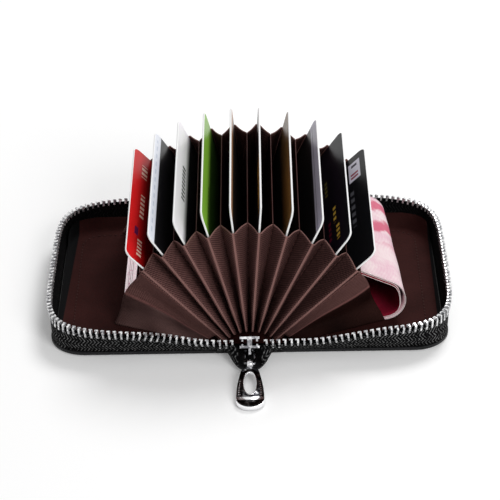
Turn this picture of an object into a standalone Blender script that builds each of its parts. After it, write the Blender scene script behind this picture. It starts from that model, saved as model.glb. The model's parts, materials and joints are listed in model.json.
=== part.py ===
"""Zip-round accordion card wallet, lying open with its two covers flat and its ten pockets fanned out.

Metres, +Z up. The origin is the middle of the spine's underside, +X runs towards the right-hand
cover and +Y away from the zip slider. The open covers lie on z = 0.
"""

import math

import bmesh
import bpy
from mathutils import Matrix, Vector

# Cards and the fan of pockets
CARD_COUNT_A_SIDE = 5
CARD_LENGTH = 0.0856
CARD_HEIGHT = 0.05398
CARD_THICKNESS = 0.00076
CARD_CORNER = 0.00318
CARD_LIFT = 0.0015  # from the pivots to the card's lower edge
FAN_STEP = 0.00105  # from a card's middle to the next divider's, closed
FAN_HEIGHT = 0.0058  # of the middle pivot line above the floor
# Turns for the right side (1) and the left (-1): the fan doesn't open quite evenly about its middle
FIRST_TURN = {1: math.radians(4.2), -1: math.radians(5.6)}  # from the middle divider to its first card
EVEN_TURN = {1: math.radians(5.2), -1: math.radians(4.7)}  # from each card or divider to the next
END_TURN = math.radians(1.1)  # from the last card to the end panel
POCKET_DEPTH = 0.0459
POCKET_FLOOR = 0.0008
PLEAT_CLOTH = 0.0003
PLEAT_TIP = 0.00075  # half the blunt width of an outward fold
PLEAT_CLEARANCE = 0.0014  # from a card's end to the outward fold's outside
PLEAT_FOLD = 0.0073  # from the outward folds in to the dividers
PLEAT_GAP = 0.00015
DIVIDER_THICKNESS = 0.0004
DIVIDER_LAP = 0.001
DIVIDER_LIFT = 0.0004
DIVIDER_CORNER = 0.001
END_PANEL_THICKNESS = 0.0006
END_PANEL_RECESS = 0.0004
END_PANEL_LIFT = 0.0010  # its foot stays above the spine's lining

# Covers and spine
SPINE_HALF = 0.0125  # from the middle to each hinge line
COVER_REACH = 0.0775
COVER_DEPTH = 0.0960
COVER_CORNER = 0.014
LEATHER = 0.0012
LEATHER_EDGE = 0.0004
BOARD = 0.0006
LINING = 0.0003
LAYER_GAP = 0.00015
HINGE_LIFT = 0.0001  # of the hinge line above the leather
HINGE_GAP = 0.0003
FOLD_GAP = 0.0006  # from the hinge line to the board and lining, which clear the spine's lining when folded
BOARD_INSET = 0.0035
LINING_INSET = 0.0030

# Zip
ROW_REACH = 0.0788
ROW_HALF_DEPTH = 0.0538
ROW_SQUARENESS = 5.2
FOOT_SQUARENESS = 12.0
ROW_TOP = 0.0133
ROW_TOP_AT_SPINE = 0.0092
# The row stays low to here and then climbs; the left one (-1) stands up sooner than the right one (1)
ROW_LEVEL_TO_RIGHT = 0.020
ROW_LEVEL_TO_LEFT = 0.022
ROW_LEVEL_TO = {1: ROW_LEVEL_TO_RIGHT, -1: ROW_LEVEL_TO_LEFT}
ROW_CLIMB_RIGHT = 0.036
ROW_CLIMB_LEFT = 0.028
ROW_CLIMB = {1: ROW_CLIMB_RIGHT, -1: ROW_CLIMB_LEFT}
# How far each front row is bent in towards the fan, in one smooth bow from beside the spine
ROW_BOW_LEFT = 0.0032
ROW_BOW = {1: 0.0, -1: ROW_BOW_LEFT}
ROW_BOW_FROM = 0.0128
ROW_BOW_LENGTH = 0.036
TAPE = 0.0008
TAPE_FOOT_INSET = 0.0012
TAPE_START_GAP = 0.0003
TOOTH_PITCH = 0.0024
TOOTH_HEIGHT = 0.0026
TOOTH_WIDTH = 0.0022
TOOTH_LENGTH = 0.0012
TOOTH_TIP_SHARE = 0.72
TOOTH_LEAN_AT_SPINE = math.radians(27.5)
BEAD_RADIUS = 0.00055
BEAD_DROP = 0.0019
TAPE_DROP = 0.0034
BEAK_REACH = 0.0176
BEAK_HALF_WIDTH = 0.0085
BEAK_SQUARENESS = 3.0
BEAK_FADE = 1.3
BEAK_RISE = 0.0008

# Slider and puller
SLIDER_WIDTH = 0.0082
SLIDER_TAIL_WIDTH = 0.0064
SLIDER_LENGTH = 0.0095
SLIDER_PLATE = 0.0009
SLIDER_MOUTH = 0.0026
SLIDER_LEAN = math.radians(55)
SLIDER_HEIGHT = 0.0094
SLIDER_FORWARD = 0.0546
SLIDER_CLEARANCE = 0.0004
SLIDER_CORNER = 0.0012
WEDGE_WIDTH = 0.0018
WEDGE_LENGTH = 0.0042
RAIL_HEIGHT = 0.0008
RAIL_WIDTH = 0.0007
BRIDGE_WIRE = 0.0008
BRIDGE_CORNER = 0.0016
BRIDGE_RISE = 0.0032
BRIDGE_FRONT = 0.0006
BRIDGE_BACK = 0.0068
LINK_WIRE = 0.00055
LINK_WIDTH = 0.0050
LINK_LENGTH = 0.0071
LINK_CORNER = 0.0006
LINK_PLAY = 0.0003
LINK_BACK = 0.0024  # from the bridge's front leg to where the link hangs
LINK_DROOP = math.radians(14.4)
PULLER_LENGTH = 0.0264
PULLER_THICKNESS = 0.0018
PULLER_EYE_RADIUS = 0.0017
PULLER_HEAD = 0.0041  # from the eye's middle to the start of the drop
PULLER_EYE_HOLE = 0.0009
PULLER_EYE_WIDTH = 0.0024
PULLER_STEM = 0.0011
PULLER_TOP = 0.0032
PULLER_WIDE = 0.0054
PULLER_WIDE_AT_SHARE = 0.80
PULLER_HOLE_HALF_WIDTH = 0.0024
PULLER_HOLE_HALF_LENGTH = 0.0058
PULLER_HOLE_AT_SHARE = 0.47
PULLER_DROOP = math.radians(5.6)

# Banknote compartments
WING_CLOTH = 0.00035
WING_ROOT = 0.0060
WING_REACH = 0.0530
WING_LAP_FRONT = 0.0300  # how far from the middle each wing's outer corner meets the lining
WING_LAP_BACK = 0.0420
WING_GAP = 0.0003
WING_FOLD_FRONT = 0.0045
WING_FOLD_BACK = 0.0
NOTE_FRONT = -0.0272
NOTE_BACK = 0.0380
NOTE_STACK = 0.0016
NOTE_LOWER_ARM = 0.0150
NOTE_UPPER_ARM = 0.0180
NOTE_GAP = 0.0004
# The right notes (1) curl over; the left ones (-1) lie closer in and stand nearly upright
NOTE_BEND_RIGHT = 0.0081
NOTE_BEND_LEFT = 0.0100
NOTE_BEND = {1: NOTE_BEND_RIGHT, -1: NOTE_BEND_LEFT}
NOTE_BEND_AT_RIGHT = 0.0523
NOTE_BEND_AT_LEFT = 0.0380
NOTE_BEND_AT = {1: NOTE_BEND_AT_RIGHT, -1: NOTE_BEND_AT_LEFT}
NOTE_TILT = {1: math.radians(24), -1: math.radians(82.5)}

# Worked out from the sizes above
CARD_HALF = CARD_LENGTH / 2
FOLD_OUT = CARD_HALF + PLEAT_CLEARANCE
FOLD_IN = FOLD_OUT - PLEAT_FOLD
HINGE_HEIGHT = LEATHER + HINGE_LIFT
BOARD_BASE = LEATHER + LAYER_GAP
LINING_BASE = BOARD_BASE + BOARD + LAYER_GAP
LINING_TOP = LINING_BASE + LINING
HALF_DEPTH = COVER_DEPTH / 2
CORNER_STEPS = 6
CURVE_STEPS = 5
EDGE_ANGLE = math.radians(50)  # edges sharper than this are rounded
WELD_DISTANCE = 0.000002

parts = None
cutters = None
materials = {}


def clear_scene():
    for item in list(bpy.data.objects):
        bpy.data.objects.remove(item, do_unlink=True)


def new_collection(name):
    made = bpy.data.collections.new(name)
    bpy.context.scene.collection.children.link(made)
    return made


def material(name, colour, roughness, metallic=0.0):
    """One Principled material per finish, made the first time it is asked for."""
    if name not in materials:
        made = bpy.data.materials.new(name)
        made.use_nodes = True
        shader = made.node_tree.nodes["Principled BSDF"]
        shader.inputs["Base Color"].default_value = (*colour, 1.0)
        shader.inputs["Roughness"].default_value = roughness
        shader.inputs["Metallic"].default_value = metallic
        materials[name] = made
    return materials[name]


def black_leather():
    return material("black_leather", (0.012, 0.012, 0.013), 0.42)


def black_tape():
    return material("black_tape", (0.010, 0.010, 0.011), 0.85)


def brown_lining():
    return material("brown_lining", (0.045, 0.016, 0.016), 0.60)


def brown_nylon():
    return material("brown_nylon", (0.055, 0.022, 0.020), 0.50)


def grey_board():
    return material("grey_board", (0.30, 0.28, 0.25), 0.90)


def steel():
    return material("bright_steel", (0.72, 0.72, 0.73), 0.18, 1.0)


def banknote_paper():
    return material("banknote_paper", (0.80, 0.45, 0.47), 0.80)


def card_plastic(number):
    colours = (
        (0.65, 0.03, 0.03), (0.78, 0.80, 0.84), (0.45, 0.46, 0.47), (0.22, 0.50, 0.08), (0.80, 0.76, 0.68),
        (0.80, 0.55, 0.20), (0.45, 0.30, 0.14), (0.72, 0.70, 0.80), (0.02, 0.015, 0.03), (0.01, 0.01, 0.012),
    )
    return material(f"card_plastic_{number}", colours[number - 1], 0.35)


def link(obj, finish, collection=None):
    obj.data.materials.append(finish)
    (collection or parts).objects.link(obj)
    return obj


def mesh_object(name, points, faces, finish, collection=None):
    mesh = bpy.data.meshes.new(name)
    mesh.from_pydata([tuple(p) for p in points], [], faces)
    mesh.update()
    return link(bpy.data.objects.new(name, mesh), finish, collection)


def pivot(name, parent, location, turn=0.0):
    """An empty on a joint's axis, turned about Y."""
    made = bpy.data.objects.new(name, None)
    made.empty_display_size = FAN_HEIGHT
    made.location = location
    made.rotation_euler = (0, turn, 0)
    made.parent = parent
    parts.objects.link(made)
    return made


def arc(centre, radius, start, end, steps):
    """Points on an arc of a plane, both ends included."""
    angles = [start + (end - start) * i / steps for i in range(steps + 1)]
    return [(centre[0] + radius * math.cos(a), centre[1] + radius * math.sin(a)) for a in angles]


def rounded_outline(low, high, radii, steps=CORNER_STEPS):
    """A rectangle's outline, anticlockwise from its low corner, each corner with its own radius."""
    quarter = math.pi / 2
    corners = ((low[0], low[1], 1, 1), (high[0], low[1], -1, 1), (high[0], high[1], -1, -1), (low[0], high[1], 1, -1))
    points = []
    for i, ((x, y, sx, sy), radius) in enumerate(zip(corners, radii)):
        if radius == 0:
            points.append((x, y))
            continue
        start = math.pi + i * quarter
        points += arc((x + sx * radius, y + sy * radius), radius, start, start + quarter, steps)
    return points


def flat_piece(name, outline, thickness, finish, bevel=0.0, collection=None):
    """A flat outline in the object's XY plane with its thickness centred on it."""
    curve = bpy.data.curves.new(name, "CURVE")
    curve.dimensions = "2D"
    curve.fill_mode = "BOTH"
    curve.extrude = thickness / 2
    spline = curve.splines.new("POLY")
    spline.points.add(len(outline) - 1)
    for point, (x, y) in zip(spline.points, outline):
        point.co = (x, y, 0, 1)
    spline.use_cyclic_u = True
    obj = link(bpy.data.objects.new(name, curve), finish, collection)
    if bevel:
        add_bevel(obj, bevel)
    return obj


def add_bevel(obj, width, segments=2):
    weld = obj.modifiers.new("weld", "WELD")
    weld.merge_threshold = WELD_DISTANCE
    bevel = obj.modifiers.new("edge", "BEVEL")
    bevel.width = width
    bevel.segments = segments
    bevel.limit_method = "ANGLE"
    bevel.angle_limit = EDGE_ANGLE


def add_solidify(obj, thickness, offset):
    wall = obj.modifiers.new("wall", "SOLIDIFY")
    wall.thickness = thickness
    wall.offset = offset
    wall.use_even_offset = True


def add_boolean(obj, other, operation):
    cut = obj.modifiers.new(f"{operation.lower()}_{other.name}", "BOOLEAN")
    cut.operation = operation
    cut.object = other
    hide_helper(other)


def hide_helper(obj):
    obj.hide_render = True
    obj.display_type = "WIRE"


def as_mesh(obj):
    """A curve object or one with modifiers, turned into a plain welded mesh under the same name."""
    bpy.context.view_layer.update()
    graph = bpy.context.evaluated_depsgraph_get()
    mesh = bpy.data.meshes.new_from_object(obj.evaluated_get(graph))
    shape = bmesh.new()
    shape.from_mesh(mesh)
    bmesh.ops.remove_doubles(shape, verts=shape.verts, dist=WELD_DISTANCE)
    bmesh.ops.recalc_face_normals(shape, faces=shape.faces)
    shape.to_mesh(mesh)
    shape.free()
    name = obj.name
    made = bpy.data.objects.new(name, mesh)
    for holder in obj.users_collection:
        holder.objects.link(made)
    made.matrix_world = obj.matrix_world
    bpy.data.objects.remove(obj)
    made.name = name
    return made


def tube(name, points, radius, finish, cyclic=False, resolution=1, collection=None):
    curve = bpy.data.curves.new(name, "CURVE")
    curve.dimensions = "3D"
    curve.bevel_depth = radius
    curve.bevel_resolution = resolution
    curve.use_fill_caps = not cyclic
    spline = curve.splines.new("POLY")
    spline.points.add(len(points) - 1)
    for point, place in zip(spline.points, points):
        point.co = (*place, 1)
    spline.use_cyclic_u = cyclic
    return link(bpy.data.objects.new(name, curve), finish, collection)


# Fan of pockets


def stand_upright(obj, parent, side, across=0.0):
    """Turns a flat piece so that its outline's X runs along Y and its outline's Y runs up."""
    obj.parent = parent
    obj.rotation_euler = (math.pi / 2, 0, math.pi / 2)
    obj.location = (side * FAN_STEP / 2 + across, 0, 0)


def pleat_edge(radius, turn):
    """Across and up to where a pocket's cloth meets a divider that is turned this much from it."""
    clear = (DIVIDER_THICKNESS / 2 + PLEAT_GAP) / math.cos(turn)
    across = FAN_STEP / 2 * (1 + math.cos(turn)) + radius * math.sin(turn) - clear
    return across, radius * math.cos(turn)


def pleat_ring(radius, left_turn, right_turn):
    """The pocket's eight cloth corners at one height, anticlockwise from the front left inner fold."""
    left, left_height = pleat_edge(radius, left_turn)
    right, right_height = pleat_edge(radius, right_turn)
    front = [
        (-left, -FOLD_IN, left_height),
        (-PLEAT_TIP, -FOLD_OUT, radius),
        (PLEAT_TIP, -FOLD_OUT, radius),
        (right, -FOLD_IN, right_height),
    ]
    return front + [(x, -y, z) for x, y, z in reversed(front)]


def make_gusset(number, parent, side, turns):
    """One pocket's cloth: a floor strip with a V of walls rising at its front and its back."""
    left_turn, right_turn = turns[::side]
    low = pleat_ring(POCKET_FLOOR, left_turn, right_turn)
    high = pleat_ring(POCKET_DEPTH, left_turn, right_turn)
    count = len(low)
    floors = [(3, 2, 1, 0), (7, 6, 5, 4), (4, 3, 0, 7)]
    walls = [(i, i + 1, i + 1 + count, i + count) for i in (0, 1, 2, 4, 5, 6)]
    obj = mesh_object(f"gusset_{number}", low + high, floors + walls, brown_nylon())
    obj.parent = parent
    obj.location = (side * FAN_STEP / 2, 0, 0)
    add_solidify(obj, PLEAT_CLOTH, -1)
    return obj


def make_card(number, parent, side):
    outline = rounded_outline(
        (-CARD_HALF, CARD_LIFT), (CARD_HALF, CARD_LIFT + CARD_HEIGHT), (CARD_CORNER,) * 4, CURVE_STEPS
    )
    obj = flat_piece(f"card_{number}", outline, CARD_THICKNESS, card_plastic(number))
    stand_upright(obj, parent, side)
    return obj


def make_divider(name, parent, side):
    half = FOLD_IN + DIVIDER_LAP
    outline = rounded_outline((-half, DIVIDER_LIFT), (half, POCKET_DEPTH), (0, 0, DIVIDER_CORNER, DIVIDER_CORNER), 2)
    obj = flat_piece(name, outline, DIVIDER_THICKNESS, brown_nylon())
    stand_upright(obj, parent, side)
    return obj


def make_end_panel(name, parent, side):
    half = FOLD_OUT - END_PANEL_RECESS
    outline = rounded_outline((-half, END_PANEL_LIFT), (half, POCKET_DEPTH), (0, 0, DIVIDER_CORNER, DIVIDER_CORNER), 2)
    obj = flat_piece(name, outline, END_PANEL_THICKNESS, brown_nylon())
    stand_upright(obj, parent, side)
    return obj


def fan_turns(side):
    """How far each card or divider turns from the one before it, from the middle divider outwards."""
    return [FIRST_TURN[side], *[EVEN_TURN[side]] * (2 * CARD_COUNT_A_SIDE - 2), END_TURN]


def make_fan_side(side, word):
    """Pockets and dividers in turn, each pivoting on the one before it."""
    turns = fan_turns(side)
    parent = pivot(f"fan_{word}_root", None, (0, 0, FAN_HEIGHT))
    place = (side * FAN_STEP / 2, 0, 0)
    for step, turn in enumerate(turns, 1):
        parent = pivot(f"fan_{word}_{step}", parent, place, side * turn)
        place = (side * FAN_STEP, 0, 0)
        if step % 2:
            number = CARD_COUNT_A_SIDE + (step + 1) // 2 if side > 0 else CARD_COUNT_A_SIDE - step // 2
            make_gusset(number, parent, side, (turn, turns[step]))
            make_card(number, parent, side)
        elif step < len(turns):
            number = CARD_COUNT_A_SIDE + side * step // 2
            make_divider(f"divider_{number}", parent, side)
        else:
            make_end_panel(f"end_panel_{word}", parent, side)


def end_panel_line(side, height, offset):
    """Distance from the middle and height of a point this far up an end panel and outside its middle."""
    x, z, turned = 0.0, FAN_HEIGHT, 0.0
    for turn in fan_turns(side):
        following = turned + turn
        x += FAN_STEP / 2 * (math.cos(turned) + math.cos(following))
        z -= FAN_STEP / 2 * (math.sin(turned) + math.sin(following))
        turned = following
    x += height * math.sin(turned) + offset * math.cos(turned)
    z += height * math.cos(turned) - offset * math.sin(turned)
    return x, z


# Covers and spine


def cover_sheet(name, side, base, thickness, gap, inset, finish, bevel=0.0):
    """One flat layer of a cover: straight along the hinge, rounded at its two outer corners."""
    inner = SPINE_HALF + gap
    corner = COVER_CORNER - inset
    outline = rounded_outline(
        (inner, -HALF_DEPTH + inset), (COVER_REACH - inset, HALF_DEPTH - inset), (0, corner, corner, 0)
    )
    outline = [(side * x - side * SPINE_HALF, y) for x, y in outline]
    obj = flat_piece(name, outline[::side], thickness, finish, bevel)
    return obj, base + thickness / 2 - HINGE_HEIGHT


def make_cover(side, word, hinge):
    layers = (
        (f"cover_leather_{word}", 0, LEATHER, HINGE_GAP, 0, black_leather(), LEATHER_EDGE),
        (f"cover_board_{word}", BOARD_BASE, BOARD, FOLD_GAP, BOARD_INSET, grey_board(), 0),
        (f"cover_lining_{word}", LINING_BASE, LINING, FOLD_GAP, LINING_INSET, brown_lining(), 0),
    )
    for name, base, thickness, gap, inset, finish, bevel in layers:
        obj, height = cover_sheet(name, side, base, thickness, gap, inset, finish, bevel)
        obj.parent = hinge
        obj.location = (0, 0, height)


def make_spine():
    half = SPINE_HALF - HINGE_GAP
    sheet = flat_piece(
        "spine_leather",
        rounded_outline((-half, -HALF_DEPTH), (half, HALF_DEPTH), (0,) * 4),
        LEATHER,
        black_leather(),
        LEATHER_EDGE,
    )
    sheet.location = (0, 0, LEATHER / 2)
    inner = HALF_DEPTH - LINING_INSET
    lining = flat_piece(
        "spine_lining",
        rounded_outline((-half, -inner), (half, inner), (0,) * 4),
        LINING,
        brown_lining(),
    )
    lining.location = (0, 0, LEATHER + LAYER_GAP + LINING / 2)


# Zip tapes and rows of teeth


def row_height(x):
    """Height of the teeth's tips: low beside the spine, climbing smoothly towards the corners."""
    side = 1 if x > 0 else -1
    t = min(max((abs(x) - ROW_LEVEL_TO[side]) / ROW_CLIMB[side], 0), 1)
    return ROW_TOP_AT_SPINE + (ROW_TOP - ROW_TOP_AT_SPINE) * t * t * (3 - 2 * t)


def row_bow(x, y):
    """How far a point of the front row is bent in: the square of a half sine wave along X."""
    side = 1 if x > 0 else -1
    t = min(max((abs(x) - ROW_BOW_FROM) / ROW_BOW_LENGTH, 0), 1)
    return ROW_BOW[side] * math.sin(math.pi * t) ** 2 if y < 0 else 0.0


def oval_path(reach, half_depth, squareness, start, steps):
    """Half of a squarish oval, |x / a| ** n + |y / b| ** n = 1, from beside the spine round to its other end."""
    power = 2 / squareness
    turn_in = ROW_REACH - 2 * COVER_CORNER
    first = math.acos((turn_in / reach) ** (1 / power))
    xs = [start + (turn_in - start) * i / steps for i in range(steps)]
    front = [(x, -half_depth * (1 - (x / reach) ** squareness) ** (1 / squareness)) for x in xs]
    angles = [first * (1 - i / (CORNER_STEPS + 1)) for i in range(CORNER_STEPS + 1)]
    bend = [(reach * math.cos(a) ** power, -half_depth * math.sin(a) ** power) for a in angles]
    half = [*front, *bend, (reach, 0)]
    return half + [(x, -y) for x, y in reversed(half[:-1])]


def row_lines(side, steps):
    """Feet and crest of one zip tape about its cover's hinge, and the direction from foot to crest."""
    start = SPINE_HALF + HINGE_GAP + TAPE_START_GAP
    origin = Vector((side * SPINE_HALF, 0, HINGE_HEIGHT))
    foot = oval_path(COVER_REACH - TAPE_FOOT_INSET, HALF_DEPTH - TAPE_FOOT_INSET, FOOT_SQUARENESS, start, steps)
    row = oval_path(ROW_REACH, ROW_HALF_DEPTH, ROW_SQUARENESS, start, steps)
    feet = [Vector((side * x, y, LEATHER + LAYER_GAP)) - origin for x, y in foot]
    crest = [Vector((side * x, y + row_bow(side * x, y), row_height(side * x))) - origin for x, y in row]
    lean = [(top - foot).normalized() for foot, top in zip(feet, crest)]
    return feet, crest, lean


def make_tape(side, word, hinge):
    low, crest, lean = row_lines(side, CURVE_STEPS)
    high = [top - up * TAPE_DROP for top, up in zip(crest, lean)]
    middle = [(a + b) / 2 for a, b in zip(low, high)]
    count = len(low)
    faces = []
    for row in range(2):
        for i in range(count - 1):
            a = row * count + i
            quad = (a, a + 1, a + 1 + count, a + count)
            faces.append(quad if side > 0 else quad[::-1])
    obj = mesh_object(f"zip_tape_{word}", low + middle + high, faces, black_tape())
    obj.parent = hinge
    add_solidify(obj, TAPE, -1)


def walk(points, pitch, first):
    """Places every pitch along a broken line: the point, the direction, the segment and the share along it."""
    found = []
    due = first
    for i, (a, b) in enumerate(zip(points, points[1:])):
        step = b - a
        while due <= step.length:
            share = due / step.length
            found.append((a + step * share, step.normalized(), i, share))
            due += pitch
        due -= step.length
    return found


def tooth_into(shape, place, along, up):
    """One clamped tooth: a block across the row whose head is narrower than its legs."""
    out = along.cross(up).normalized()
    made = bmesh.ops.create_cube(shape, size=1.0)["verts"]
    for vert in made:
        narrow = TOOTH_TIP_SHARE if vert.co.z > 0 else 1.0
        local = vert.co.copy()
        vert.co = (
            place
            + along * (local.x * TOOTH_LENGTH * narrow)
            + out * (local.y * TOOTH_WIDTH * narrow)
            + up * (local.z * TOOTH_HEIGHT)
        )


def teeth_mesh(name, places, finish):
    """All teeth of a row in one mesh, for joining to the bead that carries them."""
    shape = bmesh.new()
    for place, along, up in places:
        tooth_into(shape, place, along, up)
    bmesh.ops.recalc_face_normals(shape, faces=shape.faces)
    mesh = bpy.data.meshes.new(name)
    shape.to_mesh(mesh)
    shape.free()
    return link(bpy.data.objects.new(name, mesh), finish, cutters)


def make_teeth(side, word, hinge):
    """A row of metal teeth clamped to the bead along the top of one tape."""
    _, crest, lean = row_lines(side, CURVE_STEPS)
    bead_line = [top - up * BEAD_DROP for top, up in zip(crest, lean)]
    bead = as_mesh(tube(f"zip_teeth_{word}", bead_line, BEAD_RADIUS, steel()))
    places = []
    for place, along, i, share in walk(crest, TOOTH_PITCH, TOOTH_PITCH / 2):
        up = lean[i].lerp(lean[i + 1], share)
        up = (up - along * up.dot(along)).normalized()
        places.append((place - up * (TOOTH_HEIGHT / 2), along, up))
    teeth = teeth_mesh(f"tooth_row_{word}", places, steel())
    bead.parent = teeth.parent = hinge
    add_boolean(bead, teeth, "UNION")


def belly(x):
    """How much of the beak's reach the tape has at this distance from the middle."""
    t = min(abs(x) / BEAK_HALF_WIDTH, 1)
    return (1 - t**BEAK_SQUARENESS) ** BEAK_FADE


def bridge_profile(x, direction, reach, steps=CURVE_STEPS):
    """One curve of tape, from the spine's edge out over the beak and up to the row of teeth."""
    out = reach * belly(x)
    base = (HALF_DEPTH + HINGE_GAP + TAPE / 2, TAPE)
    top = (ROW_HALF_DEPTH, row_height(x) - BEAD_DROP)
    handles = ((base[0] + out, TAPE), (base[0] + out + LAYER_GAP, TAPE + BEAK_RISE))
    points = []
    for i in range(steps + 1):
        t = i / steps
        shares = ((1 - t) ** 3, 3 * t * (1 - t) ** 2, 3 * t * t * (1 - t), t**3)
        places = (base, *handles, top)
        y = sum(s * p[0] for s, p in zip(shares, places))
        z = sum(s * p[1] for s, p in zip(shares, places))
        points.append((x, direction * y, z))
    return points


def make_bridge(name, direction, reach):
    """The tape across one end of the spine, with its few teeth, which folds as the covers close."""
    half = SPINE_HALF - HINGE_GAP
    columns = 2 * CORNER_STEPS
    xs = [-half + 2 * half * i / columns for i in range(columns + 1)]
    rows = [bridge_profile(x, direction, reach) for x in xs]
    per = len(rows[0])
    points = [p for row in rows for p in row]
    faces = []
    for i in range(columns):
        for j in range(per - 1):
            a = i * per + j
            quad = (a, a + per, a + per + 1, a + 1)
            faces.append(quad if direction < 0 else quad[::-1])
    obj = mesh_object(name, points, faces, black_tape())
    add_solidify(obj, TAPE, 0)
    obj = as_mesh(obj)
    count = math.floor(half / TOOTH_PITCH)
    along = Vector((1, 0, 0))
    up = Vector((0, direction * math.sin(TOOTH_LEAN_AT_SPINE), math.cos(TOOTH_LEAN_AT_SPINE)))
    places = []
    for i in range(-count, count):
        x = (i + 0.5) * TOOTH_PITCH
        tip = Vector((x, direction * ROW_HALF_DEPTH, row_height(x)))
        places.append((tip - up * (TOOTH_HEIGHT / 2), along, up))
    teeth = teeth_mesh(f"{name}_teeth", places, steel())
    add_boolean(obj, teeth, "UNION")
    return obj


def cut_for_slider(obj):
    """Opens the front bridge where the slider and its puller's link sit."""
    mesh = bpy.data.meshes.new("slider_opening")
    shape = bmesh.new()
    bmesh.ops.create_cube(shape, size=1.0)
    floor = TAPE + BEAK_RISE
    width = SLIDER_WIDTH + 2 * SLIDER_CLEARANCE
    for vert in shape.verts:
        vert.co.x *= width
        vert.co.y = -SLIDER_FORWARD + vert.co.y * 2 * BEAK_REACH
        vert.co.z = floor + (vert.co.z + 0.5) * ROW_TOP
    shape.to_mesh(mesh)
    shape.free()
    box = link(bpy.data.objects.new("slider_opening", mesh), black_tape(), cutters)
    add_boolean(obj, box, "DIFFERENCE")


# Slider, link and puller


def slider_matrix():
    """The slider's frame: X across it, Y out of its mouth, Z out of its face that carries the puller."""
    turn = Matrix.Rotation(math.pi / 2 + SLIDER_LEAN, 4, "X")
    return Matrix.Translation((0, -SLIDER_FORWARD, SLIDER_HEIGHT)) @ turn


def slider_outline():
    """Shield shape of the slider's plates, widest at its mouth."""
    wide, narrow = SLIDER_WIDTH / 2, SLIDER_TAIL_WIDTH / 2
    shoulder = -WEDGE_LENGTH
    quarter = math.pi / 2
    mouth = arc((wide - SLIDER_CORNER, -SLIDER_CORNER), SLIDER_CORNER, 0, quarter, 2)
    tail = arc((narrow - SLIDER_CORNER, SLIDER_CORNER - SLIDER_LENGTH), SLIDER_CORNER, -quarter, 0, 2)
    right = [*tail, (narrow, shoulder - SLIDER_CORNER), (wide, shoulder + SLIDER_CORNER), *mouth]
    return right + [(-x, y) for x, y in reversed(right)]


def make_slider():
    offset = (SLIDER_MOUTH + SLIDER_PLATE) / 2
    pieces = []
    for name, height in (("slider_body", -offset), ("slider_face", offset)):
        plate = flat_piece(name, slider_outline(), SLIDER_PLATE, steel(), collection=None if height < 0 else cutters)
        plate.location = (0, 0, height)
        pieces.append(as_mesh(plate))
    wedge_outline = [
        (0, -WEDGE_LENGTH), (WEDGE_WIDTH / 2, -SLIDER_CORNER), (WEDGE_WIDTH / 2, -SLIDER_PLATE / 2),
        (-WEDGE_WIDTH / 2, -SLIDER_PLATE / 2), (-WEDGE_WIDTH / 2, -SLIDER_CORNER),
    ]
    pieces.append(as_mesh(flat_piece("slider_wedge", wedge_outline, 2 * offset, steel(), collection=cutters)))
    tail_top = -WEDGE_LENGTH - SLIDER_CORNER
    for side in (-1, 1):
        edge = side * SLIDER_TAIL_WIDTH / 2
        low, high = sorted((edge, edge - side * RAIL_WIDTH))
        rail = rounded_outline((low, SLIDER_CORNER - SLIDER_LENGTH), (high, tail_top), (0,) * 4)
        for face in (-1, 1):
            name = f"slider_rail_{side}_{face}"
            made = flat_piece(name, rail, RAIL_HEIGHT + SLIDER_PLATE, steel(), collection=cutters)
            made.location = (0, 0, face * (offset - RAIL_HEIGHT / 2))
            pieces.append(as_mesh(made))
    crest = offset + SLIDER_PLATE / 2 + BRIDGE_RISE - BRIDGE_WIRE
    quarter = math.pi / 2
    front = arc((-BRIDGE_FRONT - BRIDGE_CORNER, crest - BRIDGE_CORNER), BRIDGE_CORNER, 0, quarter, 2)
    back = arc((-BRIDGE_BACK + BRIDGE_CORNER, crest - BRIDGE_CORNER), BRIDGE_CORNER, quarter, 2 * quarter, 2)
    line = [(-BRIDGE_FRONT, offset), *front, *back, (-BRIDGE_BACK, offset)]
    arch = tube("slider_bridge", [(0, y, z) for y, z in line], BRIDGE_WIRE, steel(), collection=cutters)
    pieces.append(as_mesh(arch))
    body = pieces[0]
    for other in pieces[1:]:
        other.matrix_world = slider_matrix() @ other.matrix_world
        add_boolean(body, other, "UNION")
    body.matrix_world = slider_matrix() @ body.matrix_world
    return body


def link_pivot():
    """Where the link hangs in the slider's bridge, in the world."""
    rise = SLIDER_MOUTH / 2 + SLIDER_PLATE + BRIDGE_RISE - 2 * BRIDGE_WIRE - LINK_WIRE - LINK_PLAY
    return slider_matrix() @ Vector((0, -(BRIDGE_FRONT + LINK_BACK), rise))


def make_link():
    """A wire ring through the bridge; it turns about the pivot's X axis."""
    holder = pivot("puller_link_pivot", None, link_pivot())
    holder.rotation_euler = (LINK_DROOP, 0, 0)
    half = LINK_WIDTH / 2 - LINK_WIRE
    outline = rounded_outline((-half, -LINK_LENGTH), (half, 0), (LINK_CORNER,) * 4, 2)
    line = [(x, y, 0) for x, y in outline]
    ring = tube("puller_link", line, LINK_WIRE, steel(), cyclic=True)
    ring.parent = holder
    return holder


def puller_half_width(share):
    """Half width of the drop-shaped pull along its length."""
    swell = min(share / PULLER_WIDE_AT_SHARE, 1)
    grown = PULLER_TOP + (PULLER_WIDE - PULLER_TOP) * math.sin(swell * math.pi / 2)
    if share <= PULLER_WIDE_AT_SHARE:
        return grown
    t = (share - PULLER_WIDE_AT_SHARE) / (1 - PULLER_WIDE_AT_SHARE)
    return PULLER_WIDE * math.sqrt(max(1 - t * t, 0))


def ellipse(centre_y, half_width, half_length, steps):
    angles = [2 * math.pi * i / steps for i in range(steps)]
    return [(half_width * math.cos(a), centre_y + half_length * math.sin(a)) for a in angles]


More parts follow.
